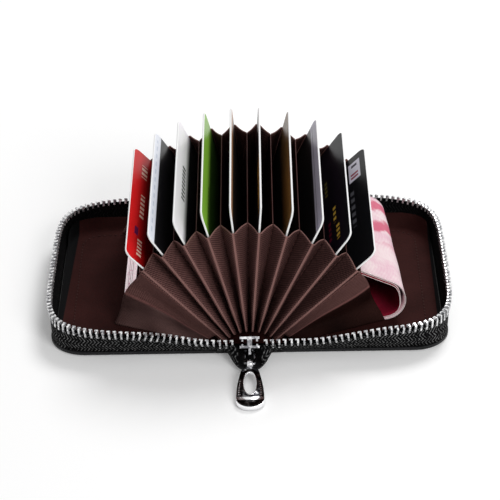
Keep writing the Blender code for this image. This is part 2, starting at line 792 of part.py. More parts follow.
def make_puller(holder):
    """The drop-shaped pull with its oval window and the small eye that the link passes through."""
    place = holder.matrix_basis @ Vector((0, -LINK_LENGTH, 0))
    turning = pivot("puller_pivot", None, place)
    turning.rotation_euler = (PULLER_DROOP, 0, 0)
    length = PULLER_LENGTH - PULLER_HEAD
    shares = [i / (4 * CURVE_STEPS) for i in range(4 * CURVE_STEPS + 1)]
    right = [(puller_half_width(s), -PULLER_HEAD - s * length) for s in shares[:-1]]
    stem_top = -(PULLER_EYE_HOLE + PULLER_EYE_RADIUS) / 2
    right = [(PULLER_STEM, stem_top), (PULLER_STEM, -PULLER_HEAD), *right[1:]]
    outline = [*right, (0, -PULLER_LENGTH), *((-x, y) for x, y in reversed(right))]
    body = as_mesh(flat_piece("puller", outline, PULLER_THICKNESS, steel()))
    eye = flat_piece(
        "puller_eye", ellipse(0, PULLER_EYE_RADIUS, PULLER_EYE_RADIUS, 2 * CORNER_STEPS), PULLER_EYE_WIDTH, steel(),
        collection=cutters,
    )
    eye.rotation_euler = (0, math.pi / 2, 0)
    hole = flat_piece(
        "puller_eye_hole", ellipse(0, PULLER_EYE_HOLE, PULLER_EYE_HOLE, 2 * CORNER_STEPS), 2 * PULLER_WIDE, steel(),
        collection=cutters,
    )
    hole.rotation_euler = (0, math.pi / 2, 0)
    window_y = -PULLER_HEAD - length * PULLER_HOLE_AT_SHARE
    window = flat_piece(
        "puller_window",
        ellipse(window_y, PULLER_HOLE_HALF_WIDTH, PULLER_HOLE_HALF_LENGTH, 3 * CORNER_STEPS),
        2 * PULLER_THICKNESS,
        steel(),
        collection=cutters,
    )
    eye, hole, window = as_mesh(eye), as_mesh(hole), as_mesh(window)
    for piece in (body, eye, hole, window):
        piece.parent = turning
    add_boolean(body, window, "DIFFERENCE")
    add_boolean(body, eye, "UNION")
    add_boolean(body, hole, "DIFFERENCE")
    return turning


# Banknote compartments


def make_wing(side, word, direction, end, lap, fold, hinge):
    """Satin gusset closing one end of a banknote compartment, with one soft inward fold."""
    offset = END_PANEL_THICKNESS / 2 + WING_GAP + WING_CLOTH / 2
    floor = LINING_TOP + WING_GAP + WING_CLOTH / 2
    rows, columns = CURVE_STEPS, 2
    points = []
    for i in range(rows + 1):
        t = i / rows
        for j in range(columns + 1):
            s = j / columns
            x0, z0 = end_panel_line(side, WING_ROOT + (POCKET_DEPTH - WING_ROOT) * s, offset)
            x1 = SPINE_HALF + WING_ROOT + (WING_REACH - SPINE_HALF - WING_ROOT) * s
            y0 = FOLD_OUT - END_PANEL_RECESS
            y1 = y0 + (lap - y0) * s
            x = x0 + (x1 - x0) * t
            y = y0 + (y1 - y0) * t - fold * s * math.sin(math.pi * t)
            z = max(z0 + (floor - z0) * t, floor)
            points.append((side * (x - SPINE_HALF), direction * y, z - HINGE_HEIGHT))
    per = columns + 1
    faces = []
    for i in range(rows):
        for j in range(columns):
            a = i * per + j
            quad = (a, a + 1, a + 1 + per, a + per)
            faces.append(quad if side * direction < 0 else quad[::-1])
    obj = mesh_object(f"bill_gusset_{end}_{word}", points, faces, brown_nylon())
    obj.parent = hinge
    add_solidify(obj, WING_CLOTH, 0)


def note_line(side):
    """Section of the folded notes in X and Z: along the lining, round the bend and back up."""
    floor = LINING_TOP + NOTE_GAP + NOTE_STACK / 2
    radius, place, tilt = NOTE_BEND[side], NOTE_BEND_AT[side], NOTE_TILT[side]
    lower = (place - NOTE_LOWER_ARM, floor)
    bend = arc((place, floor + radius), radius, -math.pi / 2, math.pi / 2 - tilt, 2 * CURVE_STEPS)
    last = bend[-1]
    heading = (-math.cos(tilt), math.sin(tilt))
    upper = (last[0] + heading[0] * NOTE_UPPER_ARM, last[1] + heading[1] * NOTE_UPPER_ARM)
    return [lower, *bend, upper]


def make_notes(side, word, hinge):
    """A few banknotes folded together, lying in their compartment with the bend outwards."""
    line = note_line(side)
    count = len(line)
    points = [
        (side * x - side * SPINE_HALF, y, z - HINGE_HEIGHT)
        for y in (NOTE_FRONT, NOTE_BACK)
        for x, z in line
    ]
    faces = [(i, i + 1, i + 1 + count, i + count) for i in range(count - 1)]
    obj = mesh_object(f"banknotes_{word}", points, faces, banknote_paper())
    obj.parent = hinge
    add_solidify(obj, NOTE_STACK, 0)


def main():
    global parts, cutters
    clear_scene()
    parts = new_collection("card_wallet")
    cutters = new_collection("card_wallet_cutters")
    make_spine()
    middle = pivot("fan_middle", None, (-FAN_STEP / 2, 0, FAN_HEIGHT))
    make_divider(f"divider_{CARD_COUNT_A_SIDE}", middle, 1)
    for side, word in ((1, "right"), (-1, "left")):
        make_fan_side(side, word)
        hinge = pivot(f"cover_{word}_hinge", None, (side * SPINE_HALF, 0, HINGE_HEIGHT))
        make_cover(side, word, hinge)
        make_tape(side, word, hinge)
        make_teeth(side, word, hinge)
        make_wing(side, word, -1, "front", WING_LAP_FRONT, WING_FOLD_FRONT, hinge)
        make_wing(side, word, 1, "back", WING_LAP_BACK, WING_FOLD_BACK, hinge)
        make_notes(side, word, hinge)
    front = make_bridge("zip_bridge_front", -1, BEAK_REACH)
    cut_for_slider(front)
    make_bridge("zip_bridge_back", 1, 0.0)
    make_slider()
    make_puller(make_link())


main()
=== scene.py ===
import json
import math

import bpy
import numpy as np
from mathutils import Matrix, Vector


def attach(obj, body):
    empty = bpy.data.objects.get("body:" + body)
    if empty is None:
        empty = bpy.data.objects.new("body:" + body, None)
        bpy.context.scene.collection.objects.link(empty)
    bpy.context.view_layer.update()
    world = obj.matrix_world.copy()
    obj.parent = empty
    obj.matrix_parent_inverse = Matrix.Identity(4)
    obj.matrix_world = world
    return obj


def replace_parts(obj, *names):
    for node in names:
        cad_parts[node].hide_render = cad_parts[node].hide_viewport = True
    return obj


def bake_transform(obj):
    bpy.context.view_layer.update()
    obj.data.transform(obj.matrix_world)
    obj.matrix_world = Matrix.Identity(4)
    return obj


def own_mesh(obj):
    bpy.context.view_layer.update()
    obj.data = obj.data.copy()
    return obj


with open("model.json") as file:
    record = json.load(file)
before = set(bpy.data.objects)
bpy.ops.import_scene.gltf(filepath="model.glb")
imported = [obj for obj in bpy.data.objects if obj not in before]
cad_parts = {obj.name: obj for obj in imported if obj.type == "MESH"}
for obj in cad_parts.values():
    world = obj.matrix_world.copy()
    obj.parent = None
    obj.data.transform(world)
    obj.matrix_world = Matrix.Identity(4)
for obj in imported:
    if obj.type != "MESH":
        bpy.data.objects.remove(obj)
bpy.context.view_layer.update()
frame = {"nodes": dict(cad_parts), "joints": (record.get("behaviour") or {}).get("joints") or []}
joints = {joint["name"]: joint for joint in frame["joints"]}
words = {1: "right", -1: "left"}
print("frame loaded,", len(frame["nodes"]), "nodes")


# A socket that can be used in sums, so that shader maths reads as ordinary maths


class Wire:
    def __init__(self, finish, socket):
        self.finish, self.socket = finish, socket

    def maths(self, operation, first, second=0.0):
        return self.finish.node("Math", {"operation": operation}, {0: first, 1: second})

    def __add__(self, other):
        return self.maths("ADD", self, other)

    def __sub__(self, other):
        return self.maths("SUBTRACT", self, other)

    def __rsub__(self, other):
        return self.maths("SUBTRACT", other, self)

    def __mul__(self, other):
        return self.maths("MULTIPLY", self, other)

    def __truediv__(self, other):
        return self.maths("DIVIDE", self, other)

    __radd__ = __add__
    __rmul__ = __mul__

    def above(self, edge):
        return self.maths("GREATER_THAN", self, edge)

    def below(self, edge):
        return self.maths("LESS_THAN", self, edge)

    def size(self):
        return self.maths("ABSOLUTE", self)

    def wave(self, length):
        return self.maths("SINE", self * (2 * math.pi / length))

    def zigzag(self, half):
        return self.maths("PINGPONG", self, half)


class Finish:
    def __init__(self, name):
        self.material = bpy.data.materials.new(name)
        self.material.use_nodes = True
        self.tree = self.material.node_tree
        self.shader = self.tree.nodes["Principled BSDF"]

    def node(self, kind, settings=None, sockets=None, out=0):
        made = self.tree.nodes.new("ShaderNode" + kind)
        for key, value in (settings or {}).items():
            setattr(made, key, value)
        for key, value in (sockets or {}).items():
            self.feed(made.inputs[key], value)
        return Wire(self, made.outputs[out])

    def feed(self, socket, value):
        if isinstance(value, Wire):
            self.tree.links.new(value.socket, socket)
        else:
            socket.default_value = value

    def set(self, **values):
        for key, value in values.items():
            self.feed(self.shader.inputs[key.replace("_", " ")], value)
        return self.material

    def dress(self, look, colour, relief, **more):  # colour over a relief, with the look's own roughness and gloss
        self.set(Base_Color=colour, Roughness=look["rough"], Specular_IOR_Level=look["gloss"])
        return self.set(Normal=self.bump(relief, look["height"]), **more)

    def place(self):
        return self.node("TexCoord", out="Object")

    def mix(self, share, low, high):
        return self.node("Mix", {"data_type": "RGBA"}, {0: share, 6: low, 7: high}, out=2)

    def noise(self, place, scale, detail=3.0):
        return self.node("TexNoise", None, {"Vector": place, "Scale": scale, "Detail": detail})

    def bump(self, height, distance, strength=1.0):
        return self.node("Bump", None, {"Height": height, "Distance": distance, "Strength": strength})

    def clamp(self, value):
        return self.node("Clamp", None, {"Value": value})

    def climb(self, value, start, rate):  # 0 up to start, then rising at that rate to 1
        return self.clamp((value - start) * rate)

    def uv(self):
        return self.node("UVMap")

    def parts(self, vector):
        split = self.node("SeparateXYZ", None, {0: vector})
        outputs = split.socket.node.outputs
        return [Wire(self, outputs[i]) for i in range(3)]


def tint(red, green, blue):  # an 8-bit screen colour as linear light
    share = np.array([red, green, blue]) / 255
    return (*np.where(share < 0.04045, share / 12.92, ((share + 0.055) / 1.055) ** 2.4).tolist(), 1.0)


# Finishes


brownSheen = (0.75, 0.50, 0.46, 1.0)
crestAcross = 0.0150  # where the wings' own map puts their crest


def crossedRibs(first, second, rib):  # two slanting sets of fine ribs, one over the other
    slant = second * 0.8
    return (first + slant).wave(rib) * 0.5 + (first - slant).wave(rib) * 0.5


def leatherFinish():
    look = {"colour": tint(15, 15, 16), "crown": tint(34, 34, 36), "grain": 1100.0, "height": 0.00016,
            "cellShare": 0.7, "rough": 0.38, "crownRough": 0.25, "gloss": 0.22}
    finish = Finish("blackLeather")
    place = finish.place()
    cells = finish.node("TexVoronoi", None, {"Vector": place, "Scale": look["grain"]})
    fine = finish.noise(place, look["grain"] * 2)
    colour = finish.mix(cells, look["colour"], look["crown"])
    relief = cells * look["cellShare"] + fine * (1 - look["cellShare"])
    return finish.dress(look, colour, relief, Roughness=look["rough"] + cells * look["crownRough"])


def tapeFinish(name, shade):
    # rows of slanting strokes whose slant turns over from row to row, broken up by noise; the pale strokes are painted
    # sheen of the threads on the black weave
    look = {"thread": tint(shade, shade, shade), "ground": tint(7, 7, 8), "pitch": 0.00140, "row": 0.0019,
            "slope": 0.85, "strokeFrom": 0.25, "strokeRate": 1.6, "speck": 1300.0, "speckFrom": 0.40, "speckRate": 5.0,
            "height": 0.00010, "rough": 0.8, "gloss": 0.03}
    finish = Finish(name)
    along, up, _ = finish.parts(finish.uv())
    lean = up.zigzag(look["row"]) * look["slope"]
    stroke = (along + lean).wave(look["pitch"])
    broken = finish.climb(finish.noise(finish.place(), look["speck"]), look["speckFrom"], look["speckRate"])
    shine = finish.climb(stroke, look["strokeFrom"], look["strokeRate"]) * broken
    return finish.dress(look, finish.mix(shine, look["ground"], look["thread"]), stroke)


def pleatFinish():
    # crossed ribs, a painted highlight along the ridge and a thin pale line along the upper rim; darker towards the
    # right as painted shade
    look = {"low": tint(34, 19, 18), "high": tint(138, 98, 94), "ridge": tint(158, 118, 112), "rib": 0.00090,
            "ribShare": 0.48, "drift": 90.0, "driftShare": 0.5, "least": 0.16, "ridgeStart": -0.00042,
            "ridgeWear": 0.85, "rimWidth": 0.0004, "rimWear": 0.6, "soft": 0.00022, "dimming": 11.0,
            "dimAtMiddle": 0.22, "height": 0.00012, "rough": 0.55, "gloss": 0.04}
    finish = Finish("pleatTwill")
    fall, across, _ = finish.parts(finish.uv())
    ribs = crossedRibs(fall, across, look["rib"])
    place = finish.place()
    drift = finish.noise(place, look["drift"])
    share = ribs * look["ribShare"] + drift * look["driftShare"] + look["least"]
    right, _, _ = finish.parts(place)
    # painted shade: the cloth turns darker towards the right, by the object's X
    rightShade = finish.clamp(right * look["dimming"] + look["dimAtMiddle"])
    cloth = finish.mix(rightShade, finish.mix(share, look["low"], look["high"]), look["low"])
    # painted highlight along each ridge, and a thin pale line along the upper rim
    ridge = finish.clamp((look["ridgeStart"] - across) / look["soft"])
    rim = finish.clamp((look["rimWidth"] - fall) / look["soft"])
    ridgeHighlightAndRim = 1 - (1 - ridge * look["ridgeWear"]) * (1 - rim * look["rimWear"])
    return finish.dress(look, finish.mix(ridgeHighlightAndRim, cloth, look["ridge"]), ribs)


def nylonFinish(name, low, high, rib, gloss):
    look = {"slant": 0.25, "ribShare": 0.30, "threadPitch": 0.6, "threadShare": 0.12, "drift": 38.0,
            "driftShare": 1.5, "least": -0.25, "driftHeight": 0.6, "height": 0.00015, "rough": 0.45, "gloss": gloss}
    finish = Finish(name)
    along, across, _ = finish.parts(finish.uv())
    ribs = (along + across * look["slant"]).wave(rib)
    threads = across.wave(rib * look["threadPitch"])
    cloth = ribs * look["ribShare"] + threads * look["threadShare"]
    drift = finish.noise(finish.place(), look["drift"], 2.0)
    colour = finish.mix(cloth + drift * look["driftShare"] + look["least"], low, high)
    return finish.dress(look, colour, cloth + drift * look["driftHeight"], Specular_Tint=brownSheen)


def wingFinish(name, satinLow, satinHigh):
    # crossed ribs above the crest (across < crest), a painted highlight along it and plain satin with broad painted
    # sheen glows below
    look = {"low": tint(46, 28, 27), "high": tint(134, 94, 90), "crest": tint(148, 100, 96), "rib": 0.00090,
            "ribShare": 0.5, "least": 0.42, "crestWidth": 0.0013, "crestShare": 0.8, "soft": 0.0012, "glow": 48.0,
            "glowFrom": 0.36, "glowRate": 3.2, "glowShare": 0.8, "satinRibs": 0.06, "ribHeight": 0.5,
            "glowHeight": 2.0, "height": 0.00020, "rough": 0.5, "gloss": 0.10}
    finish = Finish(name)
    across, up, _ = finish.parts(finish.uv())
    ribs = crossedRibs(up, across, look["rib"])
    glow = finish.noise(finish.place(), look["glow"], 1.0)
    twill = finish.mix(ribs * look["ribShare"] + look["least"], look["low"], look["high"])
    # painted sheen: broad glows over the plain satin
    glowing = finish.climb(glow, look["glowFrom"], look["glowRate"]) * look["glowShare"]
    plain = finish.mix(glowing + ribs * look["satinRibs"], satinLow, satinHigh)
    below = finish.clamp((across - crestAcross) / look["soft"])
    # painted highlight along the crest
    crest = finish.clamp(1 - (across - crestAcross).size() / look["crestWidth"]) * look["crestShare"]
    colour = finish.mix(crest, finish.mix(below, twill, plain), look["crest"])
    relief = ribs * look["ribHeight"] + glow * look["glowHeight"]
    return finish.dress(look, colour, relief, Specular_Tint=brownSheen)


def liningFinish(name, flange):
    # brown, with the black tape's sewn edge covering the outer side for the flange's width (uv x = distance inside)
    look = {"low": tint(26, 11, 10), "high": tint(66, 35, 33), "tape": tint(11, 11, 12), "soft": 0.0003,
            "grain": 1400.0, "grainShare": 0.4, "grainHeight": 0.2, "creases": 55.0, "creaseShare": 0.9,
            "creaseHeight": 1.6, "least": -0.15, "height": 0.00035, "rough": 0.60, "grainRough": 0.15, "gloss": 0.02}
    finish = Finish(name)
    place = finish.place()
    grain = finish.noise(place, look["grain"])
    creases = finish.noise(place, look["creases"], 5.0)
    fromSide, _, _ = finish.parts(finish.uv())
    covered = finish.clamp((flange - fromSide) / look["soft"])
    share = creases * look["creaseShare"] + grain * look["grainShare"] + look["least"]
    colour = finish.mix(covered, finish.mix(share, look["low"], look["high"]), look["tape"])
    relief = grain * look["grainHeight"] + creases * look["creaseHeight"]
    return finish.dress(look, colour, relief, Roughness=look["rough"] + grain * look["grainRough"])


def metalFinish(name, low, high, patch, metallic=1.0):
    # polished plating, darker in patches by noise
    look = {"smearFrom": 0.40, "smearRate": 5.0, "rough": 0.09, "smearRough": 0.14}
    finish = Finish(name)
    smear = finish.noise(finish.place(), patch, 2.0)
    return finish.set(
        Base_Color=finish.mix(finish.climb(smear, look["smearFrom"], look["smearRate"]), low, high),
        Metallic=metallic,
        Roughness=look["rough"] + smear * look["smearRough"],
    )


def plainFinish(name, colour, roughness, gloss=0.3):
    look = {"speck": 1500.0, "height": 0.00004, "rough": roughness, "gloss": gloss}
    finish = Finish(name)
    return finish.dress(look, colour, finish.noise(finish.place(), look["speck"]))


def noteEdgeFinish(name, pale, speck, glow):
    # thin paper seen edge on, made to glow by its own emission: painted light
    look = {"speck": 1100.0, "speckFrom": 0.56, "speckRate": 8.0, "rough": 0.8, "gloss": 0.1}
    finish = Finish(name)
    specks = finish.noise(finish.place(), look["speck"], 1.0)
    colour = finish.mix(finish.climb(specks, look["speckFrom"], look["speckRate"]), pale, speck)
    return finish.set(Base_Color=colour, Emission_Color=colour, Emission_Strength=glow, Roughness=look["rough"],
                      Specular_IOR_Level=look["gloss"])


def paperFinish(name, pale, deep, mid):
    # pale, with faint clouds all over and stronger slanting bands towards the far end (across > 0)
    look = {"cloud": 70.0, "cloudFrom": 0.36, "cloudRate": 3.0, "cloudShare": 0.8, "fine": 420.0, "fineShare": 0.9,
            "line": 0.0013, "swayOver": math.pi / 120, "lineSway": 0.0018, "lineShare": 0.10, "band": 0.017,
            "bandSlant": 0.45, "bandSway": 0.012, "bandRate": 1.3, "bandLeast": 0.25, "bandFine": 1.6,
            "bandShare": 0.85, "farFrom": -0.002, "farRate": 90.0, "height": 0.00015, "rough": 0.72, "gloss": 0.10}
    finish = Finish(name)
    along, across, _ = finish.parts(finish.uv())
    place = finish.place()
    cloud = finish.noise(place, look["cloud"], 2.0)
    fine = finish.noise(place, look["fine"], 2.0) - 0.5
    sloping = across + along * look["bandSlant"] + cloud * look["bandSway"]
    bands = sloping.wave(look["band"]) * look["bandRate"]
    swaying = along + across.wave(look["swayOver"]) * look["lineSway"]
    lines = swaying.wave(look["line"]) * look["lineShare"]
    far = finish.climb(across, look["farFrom"], look["farRate"]) * look["bandShare"]
    share = far * finish.clamp(bands + look["bandLeast"] + fine * look["bandFine"])
    clouds = finish.climb(cloud, look["cloudFrom"], look["cloudRate"]) * look["cloudShare"]
    wash = finish.mix(clouds + fine * look["fineShare"] + lines, pale, mid)
    return finish.dress(look, finish.mix(finish.clamp(share), wash, deep), cloud)


def cardFinish(number, look):
    # a coloured face with a paler band along its upper edge, the darker face below it being painted shade down between
    # the dividers over the card's own colour, and rows of small plain dashes
    paper = {"drift": 40.0, "dashFrom": -0.2, "rough": 0.34, "gloss": 0.25}
    finish = Finish(f"cardPrint{number}")
    along, up, _ = finish.parts(finish.uv())
    # painted shade: the face below the band is darker
    litUpper = finish.clamp((up - look["bandFrom"]) / look["soft"])
    drift = finish.noise(finish.place(), paper["drift"])
    face = finish.mix(drift, look["face"], look.get("second", look["face"]))
    colour = finish.mix(litUpper, face, look["band"])
    for mark, left, right, low, high, pitch in look["marks"]:
        inside = along.above(left) * along.below(right) * up.above(low) * up.below(high)
        dash = along.wave(pitch).above(paper["dashFrom"]) if pitch else 1.0
        colour = finish.mix(inside * dash, colour, mark)
    return finish.set(Base_Color=colour, Roughness=paper["rough"], Specular_IOR_Level=look.get("gloss", paper["gloss"]))


leather = leatherFinish()
linings = {1: liningFinish("brownLiningRight", 0.0013), -1: liningFinish("brownLiningLeft", 0.00285)}
# the second copy, with dim threads, is painted shade for the walls' inner faces
tape, tapeInShade = tapeFinish("blackTape", 120), tapeFinish("blackTapeBack", 34)
metal = metalFinish("brightChrome", tint(120, 120, 124), tint(238, 238, 240), 420.0)
toothMetal = metalFinish("toothChrome", tint(150, 150, 154), tint(250, 250, 250), 900.0, 0.6)
# near-black base with bright patches: painted reflection, a dark ring with bright arcs
linkMetal = metalFinish("linkChrome", tint(10, 10, 12), tint(150, 150, 154), 700.0)
bead = plainFinish("blackBead", tint(6, 6, 7), 0.9, 0.02)
pleat = pleatFinish()
twill = nylonFinish("brownTwill", tint(44, 26, 26), tint(96, 64, 60), 0.00068, 0.06)
# near-black copy of the twill for the divider faces: painted shade over the cloth's own dark brown
shade = nylonFinish("dividerCloth", tint(16, 9, 9), tint(38, 22, 22), 0.00068, 0.04)
satin = nylonFinish("brownSatin", tint(44, 25, 25), tint(110, 72, 66), 0.00055, 0.12)
# one cloth in a lit copy on the left and a near-black copy on the right: painted light and painted shade
wingCloths = {1: wingFinish("wingTwillRight", tint(4, 2, 2), tint(58, 33, 29)),
              -1: wingFinish("wingTwillLeft", tint(76, 54, 52), tint(156, 120, 116))}
# the edges glow as painted light, the left ones, shaded by the cards, much more
noteEdges = {1: noteEdgeFinish("noteEdgeRight", tint(254, 240, 238), tint(240, 206, 206), 0.10),
             -1: noteEdgeFinish("noteEdgeLeft", tint(255, 240, 244), tint(226, 176, 194), 0.55)}
cardEdge = plainFinish("cardEdge", tint(246, 246, 246), 0.4)
board = plainFinish("greyBoard", tint(148, 144, 138), 0.9)
thread = plainFinish("brownThread", tint(58, 36, 34), 0.7, 0.05)
print("finishes made")


# Meshes from grids of points


def inScene(name, data):
    made = bpy.data.objects.new(name, data)
    bpy.context.scene.collection.objects.link(made)
    return made


def wrap(points, quads, name, finish, uv=None, smooth=True):
    mesh = bpy.data.meshes.new(name)
    mesh.vertices.add(len(points))
    mesh.vertices.foreach_set("co", np.asarray(points, np.float32).ravel())
    mesh.loops.add(quads.size)
    mesh.loops.foreach_set("vertex_index", quads.astype(np.int32).ravel())
    mesh.polygons.add(len(quads))
    mesh.polygons.foreach_set("loop_start", np.arange(0, quads.size, quads.shape[1], dtype=np.int32))
    mesh.polygons.foreach_set("use_smooth", np.full(len(quads), smooth))
    mesh.update(calc_edges=True)
    if uv is not None:
        layer = mesh.uv_layers.new(name="UVMap")
        layer.data.foreach_set("uv", uv.reshape(-1, 2)[quads.ravel()].astype(np.float32).ravel())
    mesh.materials.append(finish)
    return inScene(name, mesh)


def gridQuads(rows, columns, loopRows=False, loopColumns=False):
    i = np.arange(rows if loopRows else rows - 1)[:, None]
    j = np.arange(columns if loopColumns else columns - 1)[None, :]
    below, beside = (i + 1) % rows, (j + 1) % columns
    corners = [i * columns + j, i * columns + beside, below * columns + beside, below * columns + j]
    return field(*corners).reshape(-1, 4)


def cloth(name, grid, thickness, finish, uv, rim=None, back=None):
    # an open sheet, its thickness laid evenly on both sides, with a finish of its own at the rim or the back
    made = wrap(grid.reshape(-1, 3), gridQuads(*grid.shape[:2]), name, finish, uv)
    wall = made.modifiers.new("wall", "SOLIDIFY")
    wall.thickness, wall.offset = thickness, 0
    if rim or back:
        made.data.materials.append(rim or back)
        wall.material_offset_rim = 1
        wall.material_offset = 1 if back else 0
    return made


def closed(name, grid, finish, loopRows=True, uv=None):  # a ring of rings, or a tube whose ends are drawn to a point
    points, quads = grid.reshape(-1, 3), gridQuads(*grid.shape[:2], loopRows, True)
    a, b, c, d = (points[quads[:, i]] for i in range(4))
    volume = np.einsum("ij,ij->i", a, np.cross(b, c)).sum() + np.einsum("ij,ij->i", a, np.cross(c, d)).sum()
    return wrap(points, quads if volume > 0 else quads[:, ::-1], name, finish, uv)


def lengths(line):  # distance along a line of points to each of them
    return np.concatenate([[0], np.cumsum(np.linalg.norm(np.diff(line, axis=0), axis=1))])


def evenly(line, count):  # the same line with its points spread evenly
    run = lengths(line)
    wanted = np.linspace(0, run[-1], count)
    return np.stack([np.interp(wanted, run, line[:, i]) for i in range(line.shape[1])], 1)


def field(*parts):  # coordinates that broadcast together, as points
    return np.stack(np.broadcast_arrays(*parts), -1)


def unit(vectors):
    return vectors / np.linalg.norm(vectors, axis=-1, keepdims=True)


def stepTo(value, low, high):  # 0 below low, 1 above high, t * t * (3 - 2 * t) between
    t = np.clip((value - low) / (high - low), 0, 1)
    return t * t * (3 - 2 * t)


def scatter(name, shape, quads, places, along, across, up, finish, smooth=True):
    # one small shape at every place: place + along * x + across * y + up * z
    axes = np.stack([along, across, up], 1)
    points = places[:, None, :] + np.einsum("pk,nkc->npc", shape, axes)
    faces = quads[None] + (np.arange(len(places)) * len(shape))[:, None, None]
    return wrap(points.reshape(-1, 3), faces.reshape(-1, quads.shape[1]), name, finish, smooth=smooth)


def pointed(rings):  # a tube's rings with a ring drawn to a point at both ends
    ends = [np.broadcast_to(rings[i].mean(0), rings[:1].shape) for i in (0, -1)]
    return np.concatenate([ends[0], rings, ends[1]])


def sweep(name, line, radius, finish, loop=False, sides=10):  # a round tube along a line
    ahead = np.roll(line, -1, 0) - np.roll(line, 1, 0) if loop else np.gradient(line, axis=0)
    ahead = unit(ahead)
    side = unit(np.cross(ahead, np.array([0.31, 0.17, 0.93])))
    rise = np.cross(side, ahead)
    turn = np.linspace(0, 2 * math.pi, sides, endpoint=False)
    ring = side[:, None] * np.cos(turn)[None, :, None] + rise[:, None] * np.sin(turn)[None, :, None]
    grid = line[:, None] + ring * radius
    return closed(name, grid if loop else pointed(grid), finish, loop)


# The fan's leaves, read from its joints

fan = {"clothTop": 0.0459, "foldOut": 0.0442, "foldIn": 0.0369, "lastFoldIn": 0.0432, "floor": 0.0008,
       "tip": 0.00075, "cloth": 0.0003}


def fanLeaves(side):
    # each leaf: its foot (x, z), its turn and its body; the middle leaf comes first
    chain = [joints[f"fan_{words[side]}_{k}"] for k in range(1, 11)]
    spots = [np.array(joint["pos_m"]) for joint in chain]
    half = np.linalg.norm(spots[1] - spots[0]) / 2
    leaves = [{"foot": np.array([0.0, spots[0][2]]), "turn": 0.0, "body": "spine"}]
    turn = 0.0
    for joint, spot in zip(chain, spots):
        turn += math.radians(-joint["range_deg"][0])
        foot = np.array([spot[0] + side * half * math.cos(turn), spot[2] - half * math.sin(turn)])
        leaves.append({"foot": foot, "turn": side * turn, "body": joint["child"]})
    return leaves


fanMiddle = joints["fan_right_1"]["pos_m"][1]


def leafPoint(leaf, across, along, height):
    # foot + across * (cos, -sin) + height * (sin, cos) in X and Z
    c, s = math.cos(leaf["turn"]), math.sin(leaf["turn"])
    x = leaf["foot"][0] + across * c + height * s
    z = leaf["foot"][1] - across * s + height * c
    return field(x, fanMiddle + along, z)


pocket = {"rows": 26, "columns": 9, "bend": 0.0022, "slack": (0.3, 0.7), "slackOut": 0.10, "sag": 0.0007,
          "ridgeCurl": 0.62, "ridgeDepth": 0.0003, "valleyIn": 0.0002, "tipRate": 4, "footTip": 0.4, "width": 0.0078,
          "ridgeWidth": 0.0009}


def pocketHalf(name, ridge, valley, toward, valleyOut, seed):
    # a sheet in a U: down the front wall, along the floor and up the back, from the ridge (t = 0) to the valley (1)
    # the first two columns turn round the ridge to its middle and close the fold over the card's end
    rows, columns, bend = pocket["rows"], pocket["columns"], pocket["bend"]
    t = np.concatenate([[0.0, 0.0], np.linspace(0, 1, columns)])[None, :]
    low, high = fan["floor"], fan["clothTop"]
    heights = np.linspace(high, low + bend, rows)
    turnIn = np.linspace(0, math.pi / 2, 5)[1:]
    inset = np.concatenate([np.zeros(rows), bend * (1 - np.cos(turnIn))])
    fall = np.concatenate([heights, low + bend - bend * np.sin(turnIn)])
    height = np.concatenate([fall, fall[::-1]])[:, None]
    inset = np.concatenate([inset, inset[::-1]])[:, None]
    sign = np.concatenate([-np.ones(len(fall)), np.ones(len(fall))])[:, None]
    slack = np.random.default_rng(seed).uniform(*pocket["slack"])
    rounding = np.array([0.0, pocket["ridgeCurl"]] + [1.0] * columns)[None, :]
    fold = t + pocket["slackOut"] * np.sin(math.pi * t) * slack
    reach = fan["foldOut"] + (valleyOut - fan["foldOut"]) * fold
    share = np.clip(height / high, 0, 1)
    sag = pocket["sag"] * slack * np.sin(math.pi * t) * share
    along = sign * (reach - inset - sag + pocket["ridgeDepth"] * (1 - rounding))
    tip = toward * fan["tip"] * np.clip(share * pocket["tipRate"], pocket["footTip"], 1) * rounding
    nearRidge = leafPoint(ridge, tip, along, height)
    nearValley = leafPoint(valley, -toward * pocket["valleyIn"], along, height)
    grid = nearRidge + (nearValley - nearRidge) * t[..., None]
    run = lengths(np.concatenate([along[:, :1], height], 1))
    fallen = np.minimum(run, run[-1] - run)
    side = t * pocket["width"] - pocket["ridgeWidth"] * (1 - rounding)
    uv = field(fallen[:, None], side)
    made = cloth(name, grid, fan["cloth"], pleat, uv)
    top = len(fall) // 3
    start = leafPoint(valley, 0.0, 0.0, heights[top])
    end = leafPoint(ridge, 0.0, 0.0, heights[top])
    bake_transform(made)
    return made


def roundedOutline(half, low, high, radius, inset=0.0, steps=8):
    # a rectangle in Y and height with round corners, drawn in by inset, anticlockwise
    r = max(radius - inset, 0.00002)
    quarter = np.linspace(0, math.pi / 2, steps)
    corners = ((-half, low, math.pi), (half, low, -math.pi / 2), (half, high, 0.0), (-half, high, math.pi / 2))
    points = []
    for y, h, start in corners:
        centreY = y - math.copysign(radius, y)
        centreH = h + radius if h == low else h - radius
        points.append(np.stack([centreY + r * np.cos(start + quarter), centreH + r * np.sin(start + quarter)], 1))
    return np.concatenate(points)


